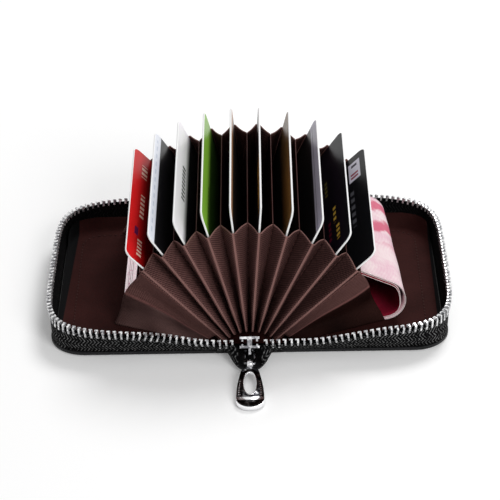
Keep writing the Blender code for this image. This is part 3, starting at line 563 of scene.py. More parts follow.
def leafSlab(name, leaf, side, size, finishes):
    # rings of one rounded outline, drawn in at both faces, closed by a cap on each
    edge, shoulder = min(size["thickness"] * 0.3, 0.00022), 0.45
    levels = ((-1, edge), (-shoulder, 0.0), (shoulder, 0.0), (1, edge))
    rings = []
    for share, inset in levels:
        outline = roundedOutline(size["half"], size["low"], size["high"], size["corner"], inset)
        rings.append(leafPoint(leaf, share * size["thickness"] / 2, outline[:, 0], outline[:, 1]))
    flat = roundedOutline(size["half"], size["low"], size["high"], size["corner"])
    count = len(flat)
    points = np.concatenate(rings)
    faces = [tuple(quad) for quad in gridQuads(len(levels), count, False, True)]
    caps = [tuple(range(count))[::-1], tuple(range(count * 3, count * 4))]
    mesh = bpy.data.meshes.new(name)
    mesh.from_pydata(points.tolist(), [], faces + caps)
    kinds = [0] * len(faces) + ([2, 1] if side > 0 else [1, 2])
    mesh.polygons.foreach_set("material_index", [min(kind, len(finishes) - 1) for kind in kinds])
    mesh.polygons.foreach_set("use_smooth", [True] * len(faces) + [False, False])
    uv = np.tile(flat - np.array([-size["half"], size["low"]]), (4, 1))
    layer = mesh.uv_layers.new(name="UVMap")
    order = np.zeros(len(mesh.loops), np.int32)
    mesh.loops.foreach_get("vertex_index", order)
    layer.data.foreach_set("uv", uv[order].astype(np.float32).ravel())
    for finish in finishes:
        mesh.materials.append(finish)
    flipIfInside(mesh)
    return inScene(name, mesh)


def flipIfInside(mesh):
    mesh.calc_loop_triangles()
    points = np.array([vertex.co for vertex in mesh.vertices])
    corners = np.zeros(len(mesh.loop_triangles) * 3, np.int32)
    mesh.loop_triangles.foreach_get("vertices", corners)
    if np.linalg.det(points[corners.reshape(-1, 3)] - points.mean(0)).sum() < 0:
        mesh.flip_normals()
    mesh.update()


black, pearl, ivory, gold = tint(11, 10, 12), tint(232, 236, 244), tint(236, 196, 176), tint(200, 160, 62)
night, ink = tint(11, 9, 13), tint(12, 12, 15)
# the band's colour and start (the darker face below it is painted shade), and the marks as (colour, left, right, low,
# high, dash pitch), in a card's own metres
cardLooks = {
    1: {"face": tint(104, 4, 6), "band": tint(208, 28, 30), "bandFrom": 0.0440, "soft": 0.006, "gloss": 0.12, "marks": [
        (ivory, 0.004, 0.018, 0.0462, 0.0486, 0.0026), (ivory, 0.034, 0.052, 0.0464, 0.0486, 0.0034),
        (tint(96, 24, 70), 0.019, 0.025, 0.0486, 0.0505, 0), (ivory, 0.066, 0.076, 0.0462, 0.0492, 0.0036)]},
    2: {"face": black, "band": pearl, "bandFrom": 0.0500, "soft": 0.0004, "marks": [
        (tint(206, 214, 226), 0.004, 0.080, 0.0518, 0.0527, 0.0065)]},
    3: {"face": tint(14, 14, 16), "band": tint(252, 246, 255), "bandFrom": 0.0436, "soft": 0.0030, "marks": [
        (black, 0.028, 0.055, 0.0464, 0.0490, 0.0031)]},
    4: {"face": tint(26, 48, 8), "band": tint(134, 190, 60), "bandFrom": 0.0442, "soft": 0.0040, "marks": [
        (tint(24, 48, 10), 0.004, 0.036, 0.0450, 0.0464, 0.0030)]},
    5: {"face": tint(20, 14, 11), "band": tint(176, 128, 92), "bandFrom": 0.0480, "soft": 0.002, "marks": []},
    6: {"face": tint(18, 12, 10), "band": tint(30, 20, 14), "bandFrom": 0.0515, "soft": 0.0012, "marks": [
        (tint(232, 176, 70), 0.012, 0.048, 0.0440, 0.0535, 0.0040)]},
    7: {"face": tint(9, 6, 5), "band": tint(132, 94, 50), "bandFrom": 0.0395, "soft": 0.012, "marks": []},
    8: {"face": black, "band": tint(196, 194, 214), "bandFrom": 0.0482, "soft": 0.0006, "marks": [
        (tint(110, 110, 140), 0.0, 0.085, 0.0498, 0.0502, 0)]},
    9: {"face": night, "second": tint(22, 12, 24), "band": night, "bandFrom": 0.05, "soft": 0.002, "gloss": 0.12,
        "marks": [(gold, 0.008, 0.020, 0.0460, 0.0480, 0.0034), (gold, 0.022, 0.034, 0.0446, 0.0464, 0.0040),
                  (tint(96, 16, 40), 0.012, 0.028, 0.0412, 0.0428, 0.0040),
                  (tint(110, 100, 48), 0.048, 0.060, 0.0405, 0.0420, 0.0034)]},
    10: {"face": ink, "band": ink, "bandFrom": 0.05, "soft": 0.002, "gloss": 0.12, "marks": [
        (tint(226, 222, 236), 0.0655, 0.0805, 0.0446, 0.0508, 0), (tint(40, 30, 60), 0.0765, 0.0785, 0.0462, 0.0492, 0),
        (tint(150, 40, 70), 0.0675, 0.0725, 0.0456, 0.0496, 0.0026),
        (tint(84, 84, 90), 0.030, 0.058, 0.0446, 0.0466, 0.0055)]},
}
cardSize = {"half": 0.0428, "low": 0.0015, "high": 0.05548, "corner": 0.00318, "thickness": 0.00076}
dividerSize = {"half": 0.0371, "low": 0.0004, "high": 0.0459, "corner": 0.0010, "thickness": 0.0004}
panelSize = {"half": 0.0438, "low": 0.0010, "high": 0.0459, "corner": 0.0010, "thickness": 0.0006}


def makeFan():
    for side, word in words.items():
        leaves = fanLeaves(side)
        for k in range(1, 11):
            leaf = leaves[k]
            if k % 2:
                number = int(leaf["body"].split("_")[1])
                inner = pocketHalf(f"pocketInner{number}", leaf, leaves[k - 1], -side, fan["foldIn"], number)
                outwards = fan["lastFoldIn"] if k == 9 else fan["foldIn"]
                outer = pocketHalf(f"pocketOuter{number}", leaf, leaves[k + 1], side, outwards, number + 20)
                for made in (inner, outer):
                    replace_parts(made, f"gusset_{number}")
                prints = cardFinish(number, cardLooks[number])
                card = leafSlab(f"card{number}", leaf, side, cardSize, [cardEdge, prints])
                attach(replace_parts(card, f"card_{number}"), f"card_{number}")
            elif k < 10:
                node = leaf["body"]
                sheet = leafSlab(node.replace("_", "Cloth"), leaf, side, dividerSize, [twill, shade])
                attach(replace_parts(sheet, node), node)
            else:
                panel = leafSlab(f"endPanel{word.capitalize()}", leaf, side, panelSize, [satin])
                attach(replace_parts(panel, f"end_panel_{word}"), f"end_panel_{word}")
    middle = fanLeaves(1)[0]
    sheet = leafSlab("dividerClothMiddle", middle, 1, dividerSize, [twill, shade])
    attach(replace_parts(sheet, "divider_5"), "spine")


makeFan()
print("fan made")


# Covers

cover = {
    "hinge": 0.0125, "reach": 0.0775, "halfDepth": 0.0480, "corner": 0.014, "leather": 0.0012,
    "leatherGrid": (60, 49), "edgeRise": 0.0004, "edge": 0.0030, "bevel": 0.00045, "fold": 0.0040,
    "liningGrid": (90, 73), "liningTop": 0.0024, "liningInset": 0.0022, "lining": 0.0003, "borderRise": 0.0009,
    "border": 0.0030, "backRise": 0.0034, "backRiseOver": 0.0022, "backLean": 0.6, "backFrom": (0.030, 0.040),
    "besideSpine": (0.012, 0.020), "flangeSkew": {1: -0.011, -1: 0.034},
}


def coverGrid(side, reach, halfDepth, corner, columns, rows):
    # x from the spine's middle to the cover's edge, y across it, drawn in round the two outer corners
    turn = np.linspace(0, math.pi / 2, 14)
    straight = np.linspace(0, reach - corner, columns)
    arcX = reach - corner + corner * np.sin(turn[1:])
    x = np.concatenate([straight, arcX])
    reachY = np.concatenate([np.full(columns, halfDepth), halfDepth - corner + corner * np.cos(turn[1:])])
    spread = np.sin(np.linspace(-math.pi / 2, math.pi / 2, rows))
    grid = np.zeros((len(x), rows, 3))
    grid[..., 0], grid[..., 1] = side * x[:, None], reachY[:, None] * spread[None, :]
    return grid


def edgeDistance(grid, reach, halfDepth, corner):
    # how far inside the rounded outline each point lies
    x, y = np.abs(grid[..., 0]), np.abs(grid[..., 1])
    dx, dy = x - (reach - corner), y - (halfDepth - corner)
    outside = np.hypot(np.maximum(dx, 0), np.maximum(dy, 0)) + np.minimum(np.maximum(dx, dy), 0)
    return corner - outside


def makeCovers():
    for side, word in words.items():
        reach, depth, corner = cover["reach"], cover["halfDepth"], cover["corner"]
        grid = coverGrid(side, reach, depth, corner, *cover["leatherGrid"])
        inside = edgeDistance(grid, reach, depth, corner)
        grid[..., 2] = cover["leather"] / 2 + cover["edgeRise"] * (1 - stepTo(inside, 0, cover["edge"]))
        skin = cloth(f"coverLeather{word.capitalize()}", grid, cover["leather"], leather, grid[..., :2])
        edge = skin.modifiers.new("edge", "BEVEL")
        edge.width, edge.segments = cover["bevel"], 3
        edge.limit_method, edge.angle_limit = "ANGLE", math.radians(50)
        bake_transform(skin)
        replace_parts(skin, f"cover_leather_{word}", "spine_leather")

        reach, depth, corner = (size - cover["liningInset"] for size in (reach, depth, corner))
        grid = coverGrid(side, reach, depth, corner, *cover["liningGrid"])
        inside = edgeDistance(grid, reach, depth, corner)
        grid[..., 2] = cover["liningTop"] + cover["borderRise"] * (1 - stepTo(inside, 0, cover["border"])) ** 2
        # at the back the lining turns up on to the tape, leaning out with it
        back = stepTo(grid[..., 1], *cover["backFrom"]) * stepTo(np.abs(grid[..., 0]), *cover["besideSpine"])
        rise = cover["backRise"] * back * (1 - stepTo(inside, 0, cover["backRiseOver"]))
        grid[..., 2] += rise
        grid[..., 1] += cover["backLean"] * rise
        fromSide = reach - np.abs(grid[..., 0]) - cover["flangeSkew"][side] * grid[..., 1]
        uv = np.stack([fromSide, grid[..., 1]], -1)
        inner = cloth(f"coverLining{word.capitalize()}", grid, cover["lining"], linings[side], uv)
        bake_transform(inner)
        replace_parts(inner, f"cover_lining_{word}", "spine_lining")
        frame["nodes"][f"cover_board_{word}"].material_slots[0].material = board
        makeStitches(side, word, reach, depth)


def makeStitches(side, word, reach, depth):
    # short capsules of thread along a rounded path inside the lining's edge
    look = {"from": 0.030, "inset": 0.0062, "corner": 0.0085, "length": 0.0014, "pitch": 0.0023, "width": 0.00034,
            "flat": 0.7, "above": 0.00022}
    x, y, r = reach - look["inset"], depth - look["inset"], look["corner"]
    turn = np.linspace(0, math.pi / 2, 24)
    front = np.stack([x - r + r * np.sin(turn), -(y - r + r * np.cos(turn))], 1)
    path = np.concatenate([[[look["from"], -y]], front, [[x, 0.0]], front[::-1] * [1, -1], [[look["from"], y]]])
    count = int(lengths(path)[-1] / look["pitch"])
    spots = evenly(path, count)
    ahead = unit(np.gradient(spots, axis=0))
    zero = np.zeros(count)
    places = np.stack([side * spots[:, 0], spots[:, 1], zero + cover["liningTop"] + look["above"]], 1)
    along = np.stack([side * ahead[:, 0], ahead[:, 1], zero], 1)
    up = np.tile([0.0, 0.0, 1.0], (count, 1))
    rings, sides = 5, 6
    lift = np.linspace(0, math.pi, rings)[:, None]
    spin = np.linspace(0, 2 * math.pi, sides, endpoint=False)[None, :]
    capsule = field(
        -np.cos(lift) * look["length"] / 2,
        np.sin(lift) * np.cos(spin) * look["width"],
        np.sin(lift) * np.sin(spin) * look["width"] * look["flat"],
    ).reshape(-1, 3)
    made = scatter(f"liningStitch{word.capitalize()}", capsule, gridQuads(rings, sides, False, True), places, along,
                   np.cross(up, along), up, thread)
    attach(made, f"cover_{word}")


makeCovers()
print("covers made")


# Zip

zipper = {
    "reach": 0.0788, "halfDepth": 0.0538, "square": 5.2, "footInset": 0.0012, "footSquare": 12.0,
    "top": 0.0133, "topAtSpine": 0.0092, "levelTo": {1: 0.020, -1: 0.022}, "climb": {1: 0.036, -1: 0.028},
    "bow": {1: 0.0, -1: 0.0032}, "bowFrom": 0.0128, "bowLength": 0.036,
    "footHeight": 0.00135, "pitch": 0.0024, "beadDrop": 0.0019, "bead": 0.0006, "tape": 0.0007, "start": 0.0125,
    "belly": 0.0011, "outwardX": 0.6, "across": 12, "wallMap": 0.0095,
}
bridge = {"gap": 0.0046, "beakReach": 0.0176, "beakHalf": 0.0085, "beakRise": 0.0008, "roundness": 1.3,
          "sides": 0.0002, "foot": 0.0008, "firstTooth": 0.0019, "lean": (0.45, 0.89), "lip": 0.52, "across": 16,
          "map": 0.012}


def rowHeight(x, side):
    start = zipper["levelTo"][side]
    climbed = stepTo(np.abs(x), start, start + zipper["climb"][side])
    return zipper["topAtSpine"] + (zipper["top"] - zipper["topAtSpine"]) * climbed


def rowBow(x, y, side):
    # the left front row is bent in by the square of a half sine wave along X
    t = np.clip((np.abs(x) - zipper["bowFrom"]) / zipper["bowLength"], 0, 1)
    return np.where(y < 0, zipper["bow"][side] * np.sin(math.pi * t) ** 2, 0.0)


def oval(reach, halfDepth, square, count):
    # a squarish oval, |x / a| ** n + |y / b| ** n = 1, from beside the spine round to its other end
    turn = np.linspace(0, math.pi / 2, 600)
    power = 2 / square
    x, y = reach * np.sin(turn) ** power, halfDepth * np.cos(turn) ** power
    keep = x >= zipper["start"]
    x, y = x[keep], y[keep]
    x[0] = zipper["start"]
    line = np.concatenate([np.stack([x, -y], 1), np.stack([x, y], 1)[::-1][1:]])
    return evenly(line, count)


def zipLines(side, count=160):
    crest = oval(zipper["reach"], zipper["halfDepth"], zipper["square"], count)
    inset = zipper["footInset"]
    foot = oval(cover["reach"] - inset, cover["halfDepth"] - inset, zipper["footSquare"], count)
    bent = crest[:, 1] + rowBow(crest[:, 0], crest[:, 1], side)
    top = np.column_stack([side * crest[:, 0], bent, rowHeight(crest[:, 0], side)])
    low = np.column_stack([side * foot[:, 0], foot[:, 1], np.full(count, zipper["footHeight"])])
    return low, top


def makeTeeth(name, places, ahead, up):
    # a plain leg (along the row, up) carried across the row, with a drooping hook to one side at its inner end
    look = {"leg": 0.00038, "tall": 0.0036, "middle": 0.0014, "inner": 0.0024, "reach": 0.0010, "hook": 0.00104,
            "chamfer": 0.00012, "slope": 0.0002, "drop": 0.0006, "tip": 0.0011, "tipEdge": 0.0001}
    leg, tall, middle, inner = look["leg"], look["tall"], look["middle"], look["inner"]
    chamfer, slope = look["chamfer"], look["slope"]
    # each ring: its place across the row, how far it reaches down, whether it has the hook, and its scale
    profile = ((1.0, tall, 0, 0.0), (1.0, tall, 0, 0.75), (0.85, tall, 0, 1.0), (0.35, tall, 0, 1.0),
               (0.30, middle, 0, 1.0), (-0.30, middle, 0, 1.0), (-0.36, middle, 1, 1.0),
               (-0.88, inner, 1, 1.0), (-1.0, inner, 1, 0.8), (-1.0, inner, 1, 0.0))
    rings = []
    for across, foot, hooked, scale in profile:
        reach = leg + (look["hook"] - leg) * hooked
        ring = np.array([(-leg, -foot), (leg, -foot), (leg, -chamfer), (leg - chamfer, 0.0), (-leg, 0.0),
                         (-reach, -slope * hooked), (-reach, -look["tip"] * hooked - look["tipEdge"]),
                         (-leg, -look["drop"] * hooked - slope)])
        centre = (ring.min(0) + ring.max(0)) / 2
        ring = centre + (ring - centre) * scale
        rings.append(np.column_stack([ring[:, 0], np.full(len(ring), across * look["reach"]), ring[:, 1]]))
    shape = np.concatenate(rings)
    quads = gridQuads(len(rings), 8, False, True)
    out = unit(np.cross(ahead, up))
    return scatter(name, shape, quads, places, ahead, out, up, toothMetal, smooth=False)


def toothFrames(crest, lean, first, pitch):
    run = lengths(crest)
    wanted = np.arange(first, run[-1], pitch)
    pick = lambda values: np.stack([np.interp(wanted, run, values[:, i]) for i in range(3)], 1)
    ahead = unit(pick(np.gradient(crest, axis=0)))
    up = pick(lean)
    up = unit(up - ahead * np.sum(up * ahead, 1, keepdims=True))
    return pick(crest), ahead, up


def makeZip():
    for side, word in words.items():
        body, cap = f"cover_{word}", word.capitalize()
        low, top = zipLines(side)
        lean = unit(top - low)
        high = top - lean * zipper["beadDrop"]
        t = np.linspace(0, 1, zipper["across"])[None, :, None]
        belly = zipper["belly"] * np.sin(math.pi * t) * (1 - t)
        outward = unit(np.column_stack([low[:, 0] * zipper["outwardX"], low[:, 1], np.zeros(len(low))]))
        grid = low[:, None] + (high - low)[:, None] * t + outward[:, None] * belly
        run = lengths(top)
        rise = np.linspace(0, zipper["wallMap"], zipper["across"])
        uv = field(run[:, None], rise[None, :])
        # each wall's inner face takes the dim copy of the tape: painted shade
        front, back = (tape, tapeInShade) if side < 0 else (tapeInShade, tape)
        wall = cloth(f"zipTape{cap}", grid, zipper["tape"], front, uv, back=back)
        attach(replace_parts(wall, f"zip_tape_{word}"), body)
        edge = sweep(f"zipBead{cap}", high, zipper["bead"], bead)
        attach(edge, body)
        places, ahead, up = toothFrames(top, lean, zipper["pitch"] / 2, zipper["pitch"])
        teeth = makeTeeth(f"zipTeeth{cap}", places, ahead * side, up)
        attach(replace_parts(teeth, f"zip_teeth_{word}"), body)


def bridgeGrid(x, direction, reach, highest=1.0):
    # a cubic curve at each x, from the spine's edge out over the beak and up to the row; the beak's reach falls off
    # sideways as (1 - |x / half| ** 3) ** roundness
    t = (np.linspace(0, 1, bridge["across"]) * highest)[None, :]
    belly = (1 - np.clip(np.abs(x) / bridge["beakHalf"], 0, 1) ** 3) ** bridge["roundness"]
    out = (reach * belly)[:, None]
    base, foot = cover["halfDepth"] + bridge["sides"], bridge["foot"]
    tops = zipper["topAtSpine"] - zipper["beadDrop"]
    beak = (base + out + bridge["sides"], foot + bridge["beakRise"])
    ends = ((base, foot), (base + out, foot), beak, (zipper["halfDepth"], tops))
    shares = ((1 - t) ** 3, 3 * t * (1 - t) ** 2, 3 * t * t * (1 - t), t ** 3)
    y = sum(share * end[0] for share, end in zip(shares, ends))
    z = sum(share * end[1] for share, end in zip(shares, ends))
    return field(x[:, None], direction * y, z)


def bridgePiece(name, x, direction, reach, highest, finish):
    grid = bridgeGrid(x, direction, reach, highest)
    uv = field(x[:, None], np.linspace(0, bridge["map"], bridge["across"])[None, :])
    return cloth(name, grid, zipper["tape"], finish, uv)


def makeBridges():
    for word, direction, reach in (("Front", -1, bridge["beakReach"]), ("Back", 1, 0.0)):
        node = f"zip_bridge_{word.lower()}"
        inner = bridge["gap"] if direction < 0 else 0.0
        for side, sideWord in words.items():
            x = side * np.linspace(inner, zipper["start"], 18)
            piece = bridgePiece(f"zipEnd{word}{sideWord.capitalize()}", x, direction, reach, 1.0, tape)
            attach(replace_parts(piece, node), "spine")
            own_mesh(piece)
            line = field(x, direction * zipper["halfDepth"], zipper["topAtSpine"])
            lean = np.tile(unit(np.array([0.0, direction * bridge["lean"][0], bridge["lean"][1]])), (len(x), 1))
            places, ahead, up = toothFrames(line, lean, bridge["firstTooth"], zipper["pitch"])
            hooked = ahead * -direction * side
            teeth = makeTeeth(f"zipEndTeeth{word}{sideWord.capitalize()}", places, hooked, up)
            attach(teeth, "spine")
            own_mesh(teeth)
    x = np.linspace(-bridge["gap"], bridge["gap"], 22)
    lip = bridgePiece("zipBeakLip", x, -1, bridge["beakReach"], bridge["lip"], leather)
    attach(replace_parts(lip, "zip_bridge_front"), "spine")


makeZip()
makeBridges()
print("zip made")


# Slider, link and pull


def turned(points, joint, droop):
    # points of the pull's own frame, with -Y along it, laid at its joint and drooped about X
    c, s = math.cos(droop), math.sin(droop)
    x, y, z = points[..., 0], points[..., 1], points[..., 2]
    spot = joint["pos_m"]
    return np.stack([spot[0] + x, spot[1] + y * c - z * s, spot[2] + y * s + z * c], -1)


def pullerFinish():
    # painted reflection: bright at the window's edge and the outer rim, near-black between for the dark surroundings
    # mirrored in the field, with a row of bright beads down each side as painted glints, and a painted highlight band
    # across below the window; uv x = share from window to rim, uv y = run down the drop
    look = {"bright": tint(246, 246, 248), "dark": tint(26, 26, 29), "smear": 520.0, "smearMost": 1.5,
            "rimFrom": 0.93, "rimBelow": 0.012, "windowTo": 0.09, "rate": 40.0, "lowerRate": 250.0,
            "band": (0.0196, 0.0216), "bandRate": 2500.0, "bandShare": 0.95, "bead": 0.0013, "beadFrom": 0.1,
            "beadShares": (0.50, 0.72), "beadRun": (0.0105, 0.0190), "beadShare": 0.8, "rough": 0.10,
            "smearRough": 0.12}
    finish = Finish("pullerChrome")
    share, run, _ = finish.parts(finish.uv())
    smear = finish.noise(finish.place(), look["smear"], 2.0)
    rim = finish.climb(share, look["rimFrom"], look["rate"]) * finish.climb(run, look["rimBelow"], look["lowerRate"])
    window = finish.clamp((look["windowTo"] - share) * look["rate"])
    (bandFrom, bandTo), (inner, outer), (top, bottom) = look["band"], look["beadShares"], look["beadRun"]
    band = finish.climb(run, bandFrom, look["bandRate"]) * finish.clamp((bandTo - run) * look["bandRate"])
    dots = run.wave(look["bead"]).above(look["beadFrom"])
    beads = dots * share.above(inner) * share.below(outer) * run.above(top) * run.below(bottom)
    # the dark field is what is left outside the painted highlights and reflections
    plain = (1 - rim) * (1 - window) * (1 - band * look["bandShare"]) * (1 - beads * look["beadShare"])
    bright = 1 - plain * finish.clamp(look["smearMost"] - smear)
    return finish.set(
        Base_Color=finish.mix(bright, look["dark"], look["bright"]),
        Metallic=1.0,
        Roughness=look["rough"] + smear * look["smearRough"],
    )


link = {"half": 0.00195, "length": 0.0071, "corner": 0.0009, "wire": 0.00052, "droop": math.radians(14.4)}
pull = {
    "droop": math.radians(5.6), "head": 0.0026, "length": 0.0264, "top": 0.0030, "wide": 0.0054, "wideAt": 0.80,
    "roundTop": 0.10, "windowHalf": 0.0024, "windowLong": 0.0064, "windowAt": 0.39, "thick": 0.0009,
    "eye": 0.00130, "eyeWire": 0.00042, "eyeWide": 0.0011, "stem": 0.0011, "stemFrom": 0.0012, "stemOver": 0.0006,
    "stemLeast": 0.85, "stemSwell": 0.5, "stemFlat": 0.75,
}


def dropOutline():
    # half width by share of length: top width rising to the widest by a quarter sine wave, then a quarter ellipse
    body = pull["length"] - pull["head"]
    shares = np.linspace(0, 1, 400)
    swell = np.minimum(shares / pull["wideAt"], 1)
    half = pull["top"] + (pull["wide"] - pull["top"]) * np.sin(swell * math.pi / 2)
    cap = np.clip((shares - pull["wideAt"]) / (1 - pull["wideAt"]), 0, 1)
    half = np.where(shares > pull["wideAt"], pull["wide"] * np.sqrt(1 - cap ** 2), half)
    half = half * np.sqrt(np.clip(1 - (1 - np.clip(shares / pull["roundTop"], 0, 1)) ** 2, 0, 1))
    right = np.column_stack([half, -pull["head"] - shares * body])
    return evenly(np.concatenate([right, right[::-1] * [-1, 1]]), 900), -pull["head"] - body * pull["windowAt"]


def makeDrop():
    # by angle about the window's middle, from the window's ellipse to where a ray meets the drop's outline
    outline, middle = dropOutline()
    angles = np.arctan2(outline[:, 1] - middle, outline[:, 0])
    order = np.argsort(angles)
    distances = np.hypot(outline[:, 0], outline[:, 1] - middle)[order]
    turn = np.linspace(-math.pi, math.pi, 96, endpoint=False)
    outer = np.interp(turn, angles[order], distances, period=2 * math.pi)
    inner = 1 / np.sqrt((np.cos(turn) / pull["windowHalf"]) ** 2 + (np.sin(turn) / pull["windowLong"]) ** 2)
    # share of the way to the rim, and height: thin at the window, sunk in the field, raised at the rim
    profile = np.array([(0.0, 0.0), (0.0, 0.55), (0.04, 0.78), (0.09, 0.78), (0.15, 0.50), (0.60, 0.55), (0.89, 0.62),
                        (0.93, 0.92), (0.965, 1.0), (0.99, 0.75), (1.0, 0.25)])
    profile = np.concatenate([profile, profile[::-1][:-1] * [1, -1]])
    share = profile[:, 0][None, :]
    radial = inner[:, None] + (outer - inner)[:, None] * share
    lift = np.broadcast_to(pull["thick"] * profile[:, 1], radial.shape)
    grid = np.stack([radial * np.cos(turn)[:, None], middle + radial * np.sin(turn)[:, None], lift], -1)
    uv = np.stack([np.broadcast_to(share, radial.shape), -grid[..., 1]], -1)
    drop = closed("puller", turned(grid, joints["puller_hinge"], pull["droop"]), pullerFinish(), uv=uv)
    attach(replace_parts(drop, "puller"), "puller")


def makePull():
    frame["nodes"]["slider_body"].material_slots[0].material = metal
    outline = roundedOutline(link["half"], -link["length"], 0.0, link["corner"], steps=6)
    ring = np.column_stack([outline, np.zeros(len(outline))])
    ring = turned(ring, joints["puller_link_hinge"], link["droop"])
    wire = sweep("pullerLink", ring, link["wire"], linkMetal, loop=True, sides=12)
    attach(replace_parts(wire, "puller_link"), "puller_link")
    makeDrop()

    # eye: a flat band bent round the X axis
    around = np.linspace(0, 2 * math.pi, 24, endpoint=False)
    spin = np.linspace(0, 2 * math.pi, 40, endpoint=False)[:, None]
    ringRadius = pull["eye"] + pull["eyeWire"] * np.cos(around)[None, :]
    width = np.broadcast_to(pull["eyeWide"] * np.sin(around)[None, :], ringRadius.shape)
    eye = field(width, ringRadius * np.cos(spin), ringRadius * np.sin(spin))
    band = closed("pullerEye", turned(eye, joints["puller_hinge"], pull["droop"]), metal)
    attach(band, "puller")
    # stem: a round rod that swells into the drop, its radius growing with the cube of the run
    run = np.linspace(0, 1, 12)[:, None]
    y = -pull["stemFrom"] - run * (pull["head"] + pull["stemOver"] - pull["stemFrom"])
    radius = pull["stem"] * (pull["stemLeast"] + pull["stemSwell"] * run ** 3)
    rod = (radius * np.cos(around), y, pull["stemFlat"] * radius * np.sin(around))
    grid = turned(pointed(field(*rod)), joints["puller_hinge"], pull["droop"])
    stem = closed("pullerStem", grid, metal, False)
    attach(stem, "puller")


makePull()
print("slider and pull made")


# Note compartments

wing = {"root": 0.0060, "reach": 0.0530, "lapFront": 0.0300, "lapBack": 0.0420, "foldFront": 0.0045, "foldBack": 0.0,
        "cloth": 0.00035, "edge": 0.0444, "crest": 0.0026, "crestAt": {1: 0.38, -1: 0.48}, "crestWidth": 0.13,
        "trough": 0.5, "troughAfter": 0.30, "troughWidth": 0.16, "lift": 0.5, "ripple": 0.0012, "waves": (6.5, 5.0),
        "offPanel": 0.0009, "offLining": 0.0006, "map": (0.036, 0.04)}


def makeWing(side, word, direction, end, lap, fold):
    # each point runs from the end panel's edge (t = 0) to the lining (1), from the fan's foot (s = 0) to its rim (1);
    # a crest stands out by a bell curve, exp(-((t - at) / width) ** 2), with a shallower trough after it
    leaf = fanLeaves(side)[10]
    t, s = np.linspace(0, 1, 44)[:, None], np.linspace(0, 1, 30)[None, :]
    heights = wing["root"] + (fan["clothTop"] - wing["root"]) * s
    top = leafPoint(leaf, -side * wing["offPanel"], 0.0, heights)
    x0, z0 = np.abs(top[..., 0]), top[..., 2]
    x1 = cover["hinge"] + wing["root"] + (wing["reach"] - cover["hinge"] - wing["root"]) * s
    floor = cover["liningTop"] + wing["offLining"]
    after = t - wing["crestAt"][side]
    trough = wing["trough"] * np.exp(-((after - wing["troughAfter"]) / wing["troughWidth"]) ** 2)
    crest = wing["crest"] * s * (np.exp(-(after / wing["crestWidth"]) ** 2) - trough)
    upWaves, outWaves = wing["waves"]
    ripple = wing["ripple"] * np.sin(math.pi * t) * s * np.sin(upWaves * s + outWaves * t + side)
    y = wing["edge"] + (lap - wing["edge"]) * s * t - fold * s * np.sin(math.pi * t) + crest
    x = x0 + (x1 - x0) * t + ripple
    z = np.maximum(z0 + (floor - z0) * t + wing["lift"] * crest, floor)
    grid = field(side * x, direction * y + fanMiddle, z)
    uv = field(crestAcross + after * wing["map"][0], s * wing["map"][1])
    node = f"bill_gusset_{end}_{word}"
    made = cloth(f"noteGusset{end.capitalize()}{word.capitalize()}", grid, wing["cloth"], wingCloths[side], uv)
    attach(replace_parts(made, node), f"cover_{word}")
    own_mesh(made)


notes = {"front": {1: -0.0296, -1: -0.0272}, "back": 0.0380, "bend": {1: 0.0081, -1: 0.0100},
         "bendAt": {1: 0.0523, -1: 0.0380}, "skew": {1: 0.066, -1: 0.0}, "lowerArm": 0.0150, "upperArm": 0.0180,
         "tilt": {1: math.radians(24), -1: math.radians(82.5)}, "floor": 0.0028, "stack": 0.0016, "stepIn": 0.002,
         "stepBack": 0.0012, "stepY": 0.0004, "partFrom": -0.9, "partOver": 2.0, "ripple": 0.00010, "waves": (210, 9)}
# each sheet's place outside the middle one, how far it draws away at the bend, and its thickness
noteSheets = {1: ((0.00070, 0.0, 0.0002), (0.00042, 0.0, 0.0002), (-0.00030, 0.0009, 0.0002),
                  (-0.00062, 0.0010, 0.0002)),
              -1: tuple((0.0004 - 0.00056 * i, 0.0, 0.0005) for i in range(7))}
outerPaper = (tint(240, 220, 222), tint(206, 84, 114), tint(226, 178, 196))
innerPaper = (tint(150, 28, 52), tint(96, 12, 30), tint(120, 18, 40))


